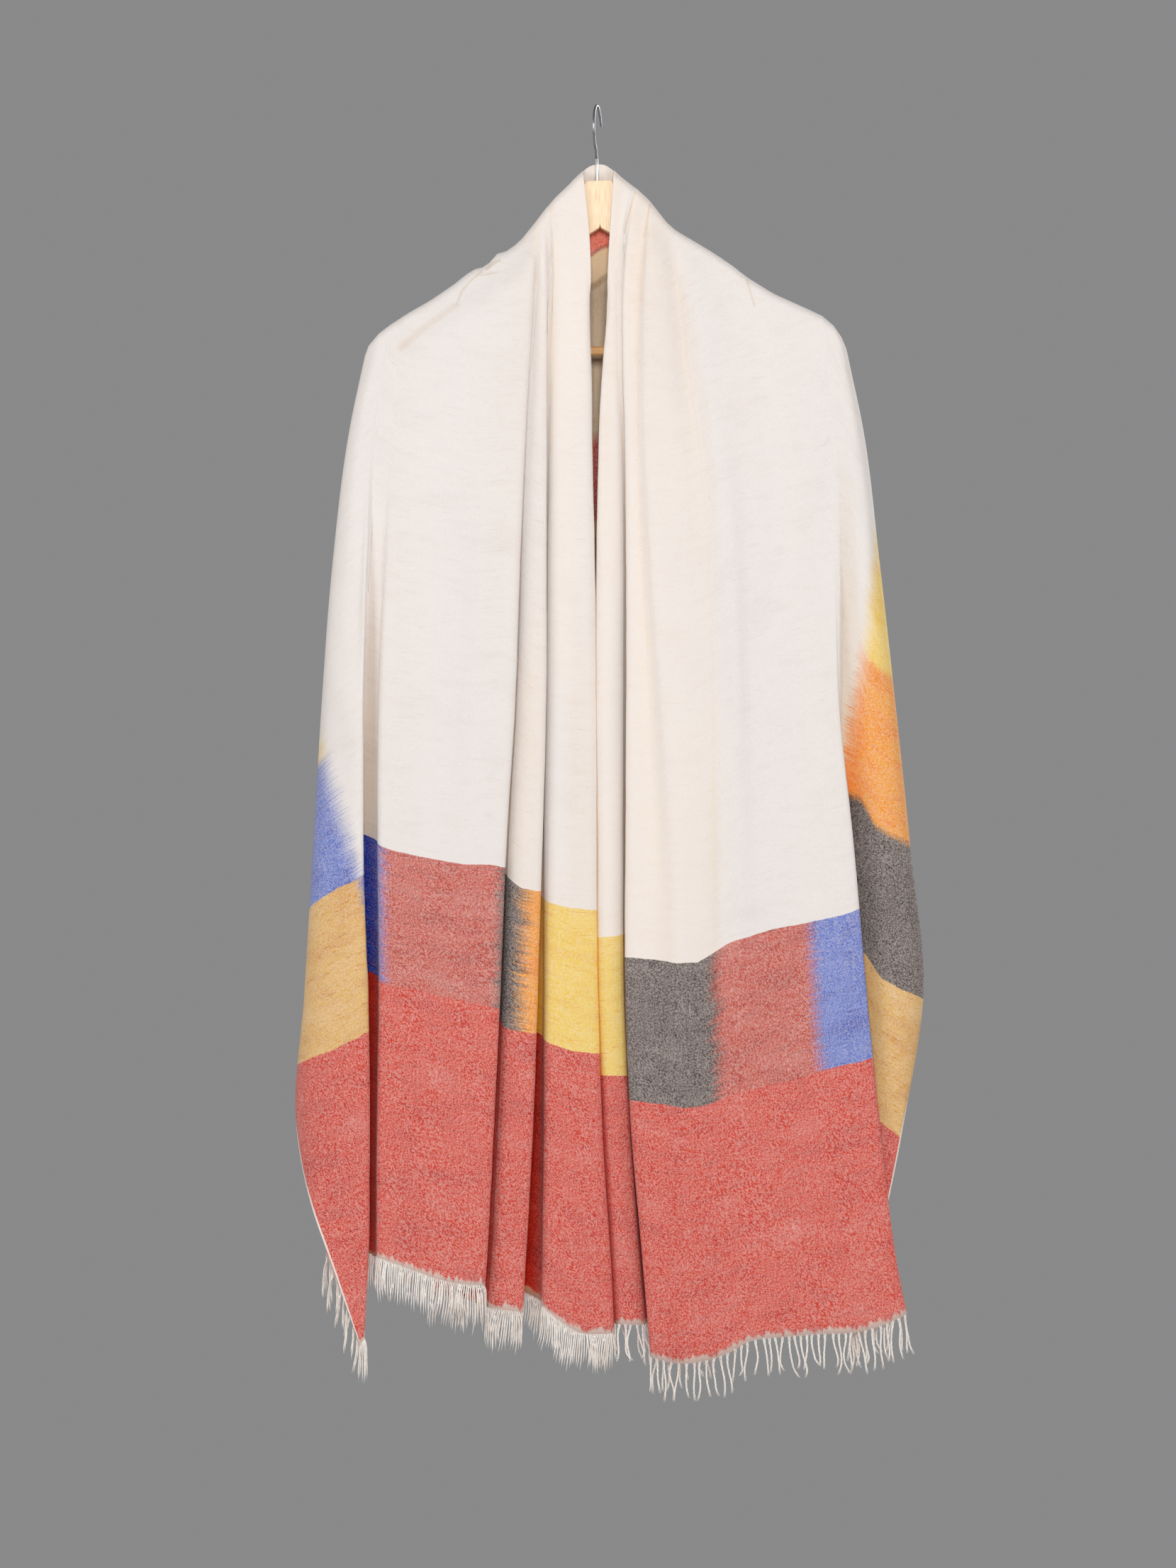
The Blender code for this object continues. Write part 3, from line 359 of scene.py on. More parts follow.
def through(places, values, where):
    """A smooth curve through the values at the places."""
    places = np.asarray(places, float)
    values = np.asarray(values, float)
    where = np.clip(where, places[0], places[-1])
    slopes = np.gradient(values, places)
    cell = np.clip(np.searchsorted(places, where) - 1, 0, len(places) - 2)
    width = places[cell + 1] - places[cell]
    t = (where - places[cell]) / width
    start = (2 * t ** 3 - 3 * t ** 2 + 1) * values[cell]
    end = (3 * t ** 2 - 2 * t ** 3) * values[cell + 1]
    lean = (t ** 3 - 2 * t ** 2 + t) * slopes[cell] + (t ** 3 - t ** 2) * slopes[cell + 1]
    return start + end + lean * width


def at_height(values, height):
    """A table over the levels at any height. A table that stops early keeps its last value."""
    whole = values + values[-1:] * (len(LEVELS) - len(values))
    return through(LEVELS[::-1], whole[::-1], height)


def ridge_at(across, axis):
    table = np.array(RIDGE)
    return np.interp(across, table[:, 0], table[:, axis])


def ridge_height(across):
    """The shoulder line, raised a little because it lies further from the camera than the fronts."""
    height = ridge_at(across, 1)
    return height + BEYOND * (height - CAMERA_HEIGHT / MM)


def on_ridge_line(grid):
    """Lay the top of a front exactly on the shoulder line, easing out below it."""
    lift = ridge_height(grid[0, :, 0]) - grid[0, :, 2]
    moved = grid.copy()
    moved[:, :, 2] += lift * smooth(1 - (grid[0, :, 2] - grid[:, :, 2]) / LIFT_DEEP)
    return moved


def read_columns(table):
    """Each column as a dictionary, with its line, to and pleat from the heading above it."""
    columns = []
    for row in table:
        if isinstance(row[0], str):
            heading = dict(zip(("line", "to", "pleat"), row))
        else:
            columns.append({"reach": 1, **heading, **dict(zip(COLUMN_FIELDS, row))})
    return columns


def column_across(column, lines, side, height):
    base = at_height(lines[column["line"]], height)
    far = at_height(lines[column["to"]], height)
    start, full = PLEATS[column["pleat"]][:2]
    laid = smooth((start - height) / (start - full))
    moved = column["shut"] + (column["lapped"] - column["shut"]) * laid
    return base + (far - base) * column["share"] + side * moved


def column_top(column, lines, side):
    """The height at which a column meets the shoulder line, by halving the range."""
    low, high = TOP_RANGE
    for _ in range(TOP_HALVINGS):
        middle = (high + low) / 2
        if middle > ridge_at(column_across(column, lines, side, middle), 1):
            high = middle
        else:
            low = middle
    return middle


def shared_fractions():
    return np.linspace(0, 1, SHARED_ROWS + 1)[1:] ** ROW_GROWTH


def weft_at(column, height):
    """Distance of a column from the neck selvedge, in metres."""
    weft = column["weft"]
    if not isinstance(weft, tuple):
        return np.full(len(height), weft * MM)
    widest = SHAWL_WIDE / MM
    if len(weft) == 3:
        low, high = (np.minimum(at_height(WEFT[name], height), widest) for name in weft[:2])
        return (low + (high - low) * weft[2]) * MM
    name, offset = weft
    return np.minimum(at_height(WEFT[name], height) + offset, widest) * MM


def warp_at(column, height):
    """Distance along the warp from the nearer hem, in metres."""
    known = (column["hem"], column["band"], column["row"])
    near = np.interp(height, known, (0, END_BAND, BLOCK_ROW))
    return near + np.maximum(height - column["row"], 0) * MM


def column_points(column, lines, side):
    """Down one column: across, depth, height, weft, warp and the strength of its painted fold shade."""
    top = column_top(column, lines, side)
    side_end = BACK_ENDS[side]
    shared = TOP_ROWS[-1] + (top - side_end - TOP_ROWS[-1]) * shared_fractions()
    free = np.linspace(0, 1, FREE_ROWS[side] + 1)[1:]
    height = np.concatenate([
        top - np.array(TOP_ROWS), top - shared, side_end + (column["hem"] - side_end) * free])
    below = top - height
    across = column_across(column, lines, side, height)
    layer = column["layer"]
    fold_shade = FOLD_SHADE.get(layer)
    if isinstance(layer, str):
        layer = at_height(RELIEF[layer], height)
    start, _, flat, parting = PLEATS[column["pleat"]]
    if flat:
        level = at_height(RELIEF[flat], height)
        layer = level + (layer - level) * smooth((start - height) / parting + EARLY_PART)
    parted = smooth(below / LAYERS_PART)
    in_front = at_height(FRONT_BASE, height) + layer * at_height(LAYER_GAP, height) * parted
    start, full = FREE_EDGE[side]
    reach = column["reach"]
    reach = reach + (1 - reach) * smooth((start - height) / (start - full))
    on_ridge = ridge_at(across, 2)
    over = arc(below / RIDGE_DROP)
    depth = on_ridge + (-in_front * reach - on_ridge) * over
    fold_shade = at_height(fold_shade, height) * parted if fold_shade else np.zeros(len(height))
    return np.stack([across, depth, height, weft_at(column, height), warp_at(column, height), fold_shade], axis=1)


def blend(before, first, second, after, share):
    """Spline in space between the middle two of four columns. What follows the weave goes straight."""
    def knot(a, b):
        return np.maximum(np.linalg.norm(b[:, :3] - a[:, :3], axis=1) ** 0.5, 1e-4)[:, None]

    t0 = np.zeros((len(first), 1))
    t1 = t0 + knot(before, first)
    t2 = t1 + knot(first, second)
    t3 = t2 + knot(second, after)
    t = t1 + (t2 - t1) * share

    def between(a, b, start, end):
        return (end - t) / (end - start) * a + (t - start) / (end - start) * b

    middle = between(first, second, t1, t2)
    near = between(between(before, first, t0, t1), middle, t0, t2)
    far = between(middle, between(second, after, t2, t3), t1, t3)
    curved = between(near, far, t1, t2)
    straight = first + (second - first) * share
    return np.concatenate([curved[:, :3], straight[:, 3:]], axis=1)


def front_surface(table, lines, side):
    """Grid of one front, a row for each height and a column for each step from opening to side."""
    points = [column_points(column, lines, side) for column in read_columns(table)]
    points.insert(0, 2 * points[0] - points[1])
    points.append(2 * points[-1] - points[-2])
    grid = []
    measured_at = len(points[0]) * 2 // 3
    for number in range(len(points) - 3):
        first, second = points[number + 1], points[number + 2]
        apart = np.linalg.norm(second[measured_at, :3] - first[measured_at, :3])
        steps = max(2, round(apart / CELL))
        for step in range(steps):
            grid.append(blend(*points[number:number + 4], step / steps) if step else first)
    grid.append(points[-2])
    return np.stack(grid, axis=1)


def back_surface(left, right):
    """Grid of the back, hung from the top rows and the side columns of the two fronts."""
    collar = np.linspace(left[0, 0, 0], right[0, 0, 0], COLLAR_CELLS + 1)[1:-1]
    top = np.concatenate([left[0, ::-1], np.zeros((len(collar), left.shape[2])), right[0]])
    neck = slice(left.shape[1], left.shape[1] + len(collar))
    top[neck, 0] = collar
    top[neck, 1] = ridge_at(collar, 2)
    top[neck, 2] = ridge_height(collar)
    # Below the ridge the columns stop following the pleats and lie side by side.
    level = np.sort(top[:, 0])
    level += EVEN_PART * (np.linspace(level[0], level[-1], len(level)) - level)
    share = np.clip(np.where(level < 0, -level / RIDGE[0][0], level / RIDGE[-1][0]), -1, 1)
    share[0] = -1
    share[-1] = 1
    hem = through(*zip(*BACK_HEM), share)
    rounded = arc((1 - np.abs(share)) / BACK_SIDE_ROUND)
    u = (share + 1) / 2
    weft_top = share ** 2 * np.where(share < 0, top[0, 3], top[-1, 3])
    warp_left = left[:, :, 4]
    warp_right = SHAWL_LONG - right[:, :, 4]
    warp_top = np.where(share < 0, top[:, 4], SHAWL_LONG - top[:, 4])
    warp_top[neck] = np.interp(collar, (left[0, 0, 0], right[0, 0, 0]), (warp_left[0, 0], warp_right[0, 0]))
    last = len(TOP_ROWS) + SHARED_ROWS - 1
    warp_low = np.interp(u, (0, 0.5, 1), (warp_left[last, -1], SHAWL_LONG / 2, warp_right[last, -1]))
    near_left = np.clip(1 - u / SIDE_PART, 0, 1) ** 2
    near_right = np.clip(1 - (1 - u) / SIDE_PART, 0, 1) ** 2
    grid = []
    numbers = list(range(len(TOP_ROWS))) + list(range(len(TOP_ROWS) + 1, last + 1, 2))
    fractions = np.concatenate([np.zeros(len(TOP_ROWS)), shared_fractions()])
    for row in numbers:
        if row < len(TOP_ROWS):
            drop = np.full(len(share), float(TOP_ROWS[row]))
        else:
            drop = TOP_ROWS[-1] + (top[:, 2] - hem - TOP_ROWS[-1]) * fractions[row]
        height = top[:, 2] - drop
        wide_left = left[row, -1, 0] / left[0, -1, 0]
        wide_right = right[row, -1, 0] / right[0, -1, 0]
        across = top[:, 0] + (level - top[:, 0]) * smooth(drop / EVEN_DEEP)
        across *= np.where(share < 0, wide_left, wide_right)
        flutes = np.zeros(len(share))
        for place, wide, deep, start in BACK_FLUTES:
            grown = smooth((start - height) / (start - FLUTES_FULL))
            flutes += deep * grown * np.exp(-((share - place) / wide) ** 2)
        behind = (through(*zip(*BACK_DEPTH), height) + flutes) * rounded
        over = arc(drop / RIDGE_DROP)
        behind = np.maximum(behind, top[:, 1] * (1 - drop / NECK_EASES))
        behind += through(*zip(*COWL), height) * np.exp(-(across / COWL_WIDE) ** 2)
        depth = top[:, 1] + (behind - top[:, 1]) * over
        v = drop / (top[:, 2] - hem)
        weft = weft_top * (1 - v) + SHAWL_WIDE * v
        warp = warp_top * (1 - v) + warp_low * v
        weft += near_left * (left[row, -1, 3] - weft[0]) + near_right * (right[row, -1, 3] - weft[-1])
        warp += near_left * (warp_left[row, -1] - warp[0])
        warp += near_right * (warp_right[row, -1] - warp[-1])
        grid.append(np.stack([across, depth, height, weft, warp, np.zeros(len(share))], axis=1))
    return np.stack(grid), numbers


def quads(numbers):
    """Rings of four corners, one for each cell of a grid of vertex numbers."""
    corners = (numbers[..., :-1, :-1], numbers[..., :-1, 1:], numbers[..., 1:, 1:], numbers[..., 1:, :-1])
    return np.stack(corners, axis=-1).reshape(*numbers.shape[:-2], -1, 4)


def new_mesh(name, points, faces):
    made = bpy.data.meshes.new(name)
    made.from_pydata(points.tolist(), [], faces)
    made.polygons.foreach_set("use_smooth", [True] * len(faces))
    made.update()
    return made


def add_object(name, data, finish=None):
    made = bpy.data.objects.new(name, data)
    bpy.context.scene.collection.objects.link(made)
    if finish:
        made.data.materials.append(finish)
    return made


def unit(vectors):
    return vectors / np.maximum(np.linalg.norm(vectors, axis=-1, keepdims=True), 1e-9)


def surface_normals(grid):
    down, along = np.gradient(grid[:, :, :3], axis=(0, 1))
    return unit(np.cross(along, down))


def drift(u, v, seed, wide, tall):
    """Smooth scatter over the cloth: wide and tall are the size of its patches, in metres."""
    size = 64
    table = np.random.default_rng(seed).normal(size=(size, size))
    x = u / wide
    y = v / tall
    x0 = np.floor(x).astype(int)
    y0 = np.floor(y).astype(int)
    fx = smooth(x - x0)
    fy = smooth(y - y0)

    def pick(i, j):
        return table[i % size, j % size]

    low = pick(x0, y0) * (1 - fx) + pick(x0 + 1, y0) * fx
    high = pick(x0, y0 + 1) * (1 - fx) + pick(x0 + 1, y0 + 1) * fx
    return low * (1 - fy) + high * fy


def crumple(grid, side):
    """Soft upright ripples of hanging wool, faded out at the ridge and at the side."""
    weft, warp = grid[:, :, 3], grid[:, :, 4]
    start, end = WIDE_PANEL[side]
    in_panel = smooth((weft - start) / PANEL_FADE) * smooth((end - weft) / PANEL_FADE)
    waves = drift(weft, warp, *WAVES) * smooth((WAVES_START - grid[:, :, 2]) / WAVES_GROW)
    ripple = sum(deep * drift(weft, warp, *scatter) for deep, *scatter in RIPPLES)
    rows = np.arange(grid.shape[0])[:, None]
    columns = np.arange(grid.shape[1])[None, :]
    fade = smooth((rows - STILL_ROWS) / RIPPLE_ROWS)
    fade = fade * smooth((grid.shape[1] - 1 - columns) / SIDE_CELLS) * smooth(columns / OPENING_CELLS)
    moved = grid.copy()
    moved[:, :, :3] += surface_normals(grid) * (ripple * fade + WAVE_DEEP * waves * in_panel)[:, :, None]
    return moved


def build_cloth(finish):
    left = crumple(on_ridge_line(front_surface(LEFT_COLUMNS, LEFT_LINES, LEFT)), LEFT)
    right = crumple(on_ridge_line(front_surface(RIGHT_COLUMNS, RIGHT_LINES, RIGHT)), RIGHT)
    back, back_rows = back_surface(left, right)
    from_left_hem = right.copy()
    from_left_hem[:, :, 4] = SHAWL_LONG - right[:, :, 4]
    numbered = []
    table = np.zeros((0, left.shape[2]))
    for grid in (left, from_left_hem, back):
        rows, columns = grid.shape[:2]
        numbered.append(len(table) + np.arange(rows * columns).reshape(rows, columns))
        table = np.concatenate([table, grid.reshape(rows * columns, -1)])
    on_left, on_right, on_back = numbered
    # The back shares the top rows and side columns of the fronts, but keeps its own place in the weave.
    in_weave = on_back.copy()
    on_back[0, :on_left.shape[1]] = on_left[0, ::-1]
    on_back[0, -on_right.shape[1]:] = on_right[0]
    on_back[:, 0] = on_left[back_rows, -1]
    on_back[:, -1] = on_right[back_rows, -1]
    fronts = np.concatenate([quads(on_left), quads(on_right)[:, [0, 3, 2, 1]]])
    faces = [*fronts.tolist(), *quads(on_back).tolist()]
    woven = [*fronts.tolist(), *quads(in_weave).tolist()]
    # The back has only some rows of the fronts, so its outer cells take up the vertices between.
    cells = on_back.shape[1] - 1
    for row in np.flatnonzero(np.diff(back_rows) > 1):
        between = back_rows[row] + 1
        first = len(fronts) + row * cells
        for rings in (faces, woven):
            rings[first].append(int(on_left[between, -1]))
            rings[first + cells - 1].insert(2, int(on_right[between, -1]))
    mesh_data = new_mesh("shawl", table[:, :3] * MM, faces)
    # One map has the place in the weave, the other tells the back from the fronts and how strong the painted
    # fold shade is.
    corners = [corner for ring in woven for corner in ring]
    behind = [number >= len(fronts) for number, ring in enumerate(woven) for _ in ring]
    part_and_fold_shade = np.stack([behind, table[corners, 5]], axis=1)
    for name, values in (("weave", table[corners, 3:5]), ("part_and_fold_shade", part_and_fold_shade)):
        layer = mesh_data.uv_layers.new(name=name)
        layer.data.foreach_set("uv", values.astype(np.float32).ravel())
    edit = bmesh.new()
    edit.from_mesh(mesh_data)
    loose = [vertex for vertex in edit.verts if not vertex.link_faces]
    bmesh.ops.delete(edit, geom=loose, context="VERTS")
    edit.to_mesh(mesh_data)
    edit.free()
    mesh_data.update()
    shawl = add_object("shawl", mesh_data, finish)
    wall = shawl.modifiers.new("thickness", "SOLIDIFY")
    wall.thickness = CLOTH_THICK
    wall.offset = 0
    return shawl, left, right


def linear(red, green, blue):
    """Screen colour 0 to 255 as linear colour."""
    scaled = [part / 255 for part in (red, green, blue)]
    return tuple(part / 12.92 if part <= 0.04045 else ((part + 0.055) / 1.055) ** 2.4
                 for part in scaled) + (1,)


class Graph:
    """Short names for the nodes that the finishes here are made of."""

    def __init__(self, name):
        self.material = bpy.data.materials.new(name)
        self.material.use_nodes = True
        self.nodes = self.material.node_tree.nodes
        self.links = self.material.node_tree.links
        self.shader = self.nodes["Principled BSDF"]

    def feed(self, socket, value):
        if isinstance(value, bpy.types.NodeSocket):
            self.links.new(value, socket)
        else:
            socket.default_value = value

    def make(self, kind, *values):
        """A node whose first inputs take the values in turn."""
        node = self.nodes.new("ShaderNode" + kind)
        for socket, value in zip(node.inputs, values):
            self.feed(socket, value)
        return node

    def fill(self, node, values):
        """Give a node's inputs their values by name."""
        for name, value in values.items():
            self.feed(node.inputs[name], value)
        return node

    def math(self, operation, first, second=0.0):
        node = self.make("Math", first, second)
        node.operation = operation
        return node.outputs[0]

    def plus(self, first, second):
        return self.math("ADD", first, second)

    def minus(self, first, second):
        return self.math("SUBTRACT", first, second)

    def times(self, first, second):
        return self.math("MULTIPLY", first, second)

    def point(self, x, y, z=0.0):
        return self.make("CombineXYZ", x, y, z).outputs[0]

    def split(self, vector):
        return self.make("SeparateXYZ", vector).outputs

    def place(self):
        return self.make("TexCoord").outputs["Object"]

    def uv(self, name):
        node = self.make("UVMap")
        node.uv_map = name
        return node.outputs[0]

    def noise(self, vector, detail, rough, scale=1.0):
        inputs = {"Vector": vector, "Scale": scale, "Detail": detail, "Roughness": rough}
        return self.fill(self.make("TexNoise"), inputs).outputs["Fac"]

    def step(self, value, low, high, to_low=0.0, to_high=1.0):
        node = self.make("MapRange", value, low, high, to_low, to_high)
        node.interpolation_type = "SMOOTHSTEP"
        return node.outputs[0]

    def mix(self, share, first, second, kind="MIX"):
        node = self.make("Mix", share)
        node.data_type = "RGBA"
        node.blend_type = kind
        self.feed(node.inputs[6], first)
        self.feed(node.inputs[7], second)
        return node.outputs[2]

    def deepened(self, colour):
        """A colour laid over itself once more, as a second bath of dye does; also the base of the painted
        fold shade.
        """
        return self.mix(1.0, colour, colour, "MULTIPLY")

    def ramp(self, share, stops):
        node = self.make("ValToRGB", share)
        elements = node.color_ramp.elements
        while len(elements) < len(stops):
            elements.new(0.5)
        for element, (place, colour) in zip(elements, stops):
            element.position = place
            element.color = colour
        return node.outputs[0]

    def bump(self, height, strength, distance):
        inputs = {"Strength": strength, "Distance": distance, "Height": height}
        return self.fill(self.make("Bump"), inputs).outputs[0]

    def surface(self, inputs):
        """The material, with these inputs for its shader."""
        self.fill(self.shader, inputs)
        return self.material


CREAM = linear(246, 235, 226)
COOL_CREAM = linear(236, 230, 227)
SHADED_CREAM = linear(240, 224, 210)
UNDYED = linear(250, 240, 230)
FRINGE = linear(226, 208, 196)
CORAL = linear(214, 57, 36)
BRICK = linear(200, 80, 65)
# Inside the neck, with painted light and shade: lighter coral, warm lit cream, taupe shade, a shadow line.
LIT_NECK_CORAL = linear(255, 118, 88)
NECK_SHADE = linear(236, 208, 173)
NECK_CREAM_WARM_LIGHT = linear(255, 221, 174)
NECK_SHADOW_LINE = linear(206, 168, 122)
YELLOW = linear(246, 209, 93)
ORANGE = linear(246, 158, 20)
CHARCOAL = linear(92, 78, 77)
BLUE = linear(102, 125, 203)
MUSTARD = linear(228, 178, 94)
SELVEDGE = linear(244, 232, 222)
# Warm tint of the painted fold shade.
FOLD_SHADE_TINT = linear(255, 254, 242)

# The block row across the weft: where each colour starts, in metres from the neck selvedge.
BLOCKS = ((0, YELLOW), (0.118, ORANGE), (0.236, CHARCOAL), (0.354, BRICK), (0.449, BLUE), (0.568, MUSTARD))
# The border beside the outer selvedge, along the whole warp: where each colour starts, in metres.
BORDER = (
    (0, MUSTARD), (0.365, BLUE), (0.490, YELLOW), (0.620, BRICK), (0.750, CHARCOAL), (0.880, ORANGE),
    (0.975, MUSTARD), (1.080, BLUE), (1.180, BRICK), (1.285, YELLOW), (1.437, ORANGE),
    (1.583, CHARCOAL), (1.715, MUSTARD),
)
BORDER_START = 0.568
# Half widths over which colours meet: sharp along the warp, bled across it, and at the border.
EDGE = 0.0004
BLEED = 0.007
BORDER_BLEED = 0.013
# The inside of the neck: colours by their share of the width, and where it ends from the middle.
# Light and shade in the neck are painted into these colours: a lighter coral and a warm cream where
# light falls in, a brick line and thin darker lines as shadows under folds, and taupe as the shaded back.
HEART_STOPS = (
    (0.0, CREAM), (0.066, CREAM), (0.070, LIT_NECK_CORAL), (0.1025, LIT_NECK_CORAL), (0.1035, BRICK), (0.1065, BRICK),
    (0.107, NECK_CREAM_WARM_LIGHT), (0.1255, NECK_CREAM_WARM_LIGHT), (0.1270, NECK_SHADE), (0.1285, NECK_CREAM_WARM_LIGHT),
    (0.139, NECK_CREAM_WARM_LIGHT), (0.1405, NECK_SHADOW_LINE), (0.1445, NECK_SHADOW_LINE), (0.147, NECK_SHADE), (0.325, NECK_SHADE),
    (0.345, CORAL), (0.438, CORAL), (0.446, MUSTARD), (0.62, MUSTARD), (0.625, CREAM), (1.0, CREAM),
)
HEART_ENDS = (0.0765, 0.0755)
# From and to where the bare selvedge shows, before the outer edge.
SELVEDGE_WIDE = (0.0016, 0.0010)
# Noise in the weave: how fine across the weft and along the warp, to the metre, detail, roughness.
GRAINS = {
    "yarn": (7, 620, 2, 0.7),
    "yarn_group": (4, 130, 2, 0.5),
    "waver": (70, 4, 2, 0.5),
    "field": (9, 2.2, 2, 0.5),
    "band": (28, 1.6, 1, 0.5),
    "blots": (34, 120, 3, 0.6),
    "flecks": (110, 620, 3, 0.65),
    "slubs": (36, 480, 1, 0.5),
    "cloud": (18, 38, 3, 0.55),
    "pale": (420, 60, 2, 0.6),
    "fray": (260, 30, 2, 0.6),
}
# Where the dye lies deeper: from and to which value of the noise, and by how much at most.
SPOTS = {"blots": (0.46, 0.74, 0.4), "flecks": (0.54, 0.68, 0.5), "slubs": (0.66, 0.74, 0.8)}
# Lines of the twill to the metre: across them, along them on the slant, and through the cloth.
TWILL_FINE = 1100
TWILL_LONG = 400
TWILL_DEEP = 700
# Painted crease shade along the pinched lines of the neck and shoulders: points across and up, half width and
# strength.
TUCK_SHADE_LINES = (
    (((-102, -145.7), (-112.5, -155), (-119.4, -163.7), (-123.7, -175.5)), 1.7, 0.6),
    (((-87.7, -146.9), (-103.2, -149.4)), 1.4, 0.45),
    (((-97.5, -143.5), (-93, -139.5), (-86.5, -136.2)), 2.2, 0.7),
    (((-123.7, -175.5), (-151, -194.7), (-172.7, -213.3)), 5.0, 0.3),
    (((130.5, -153.1), (137.3, -176.1)), 1.6, 0.45),
    (((32.5, -76), (23.2, -111.6)), 1.5, 0.6),
    (((45.6, -87), (40.6, -115.9)), 1.5, 0.6),
)
# The part of a tuck's half width that takes the full painted crease shade, and the depths, in metres,
# over which that shade comes in, so that the back has none.
TUCK_SHADE_CORE = 0.2
TUCK_SHADE_FRONT = (-0.002, -0.006)


def soft_stops(table, whole, spread):
    """Ramp stops that hold each colour and pass to the next within spread on both sides."""
    stops = [(0.0, table[0][1])]
    for (_, before), (start, after) in zip(table, table[1:]):
        stops += [((start - spread) / whole, before), ((start + spread) / whole, after)]
    return stops


def tuck_shade(g):
    """How strong the painted crease shade is at the pinched tuck lines of the shoulders and neck."""
    across, depth, height = g.split(g.place())
    crease_shade = 0.0
    for line, wide, strong in TUCK_SHADE_LINES:
        for (x1, z1), (x2, z2) in zip(line, line[1:]):
            run_x = (x2 - x1) * MM
            run_z = (z2 - z1) * MM
            squared = run_x ** 2 + run_z ** 2
            from_x = g.minus(across, x1 * MM)
            from_z = g.minus(height, z1 * MM)
            share = g.plus(g.times(from_x, run_x / squared), g.times(from_z, run_z / squared))
            share = g.math("MINIMUM", g.math("MAXIMUM", share, 0.0), 1.0)
            off_x = g.minus(from_x, g.times(share, run_x))
            off_z = g.minus(from_z, g.times(share, run_z))
            away = g.math("SQRT", g.plus(g.math("POWER", off_x, 2.0), g.math("POWER", off_z, 2.0)))
            here = g.step(away, wide * TUCK_SHADE_CORE * MM, wide * MM, strong, 0.0)
            crease_shade = g.math("MAXIMUM", crease_shade, here)
    return g.times(crease_shade, g.step(depth, *TUCK_SHADE_FRONT))


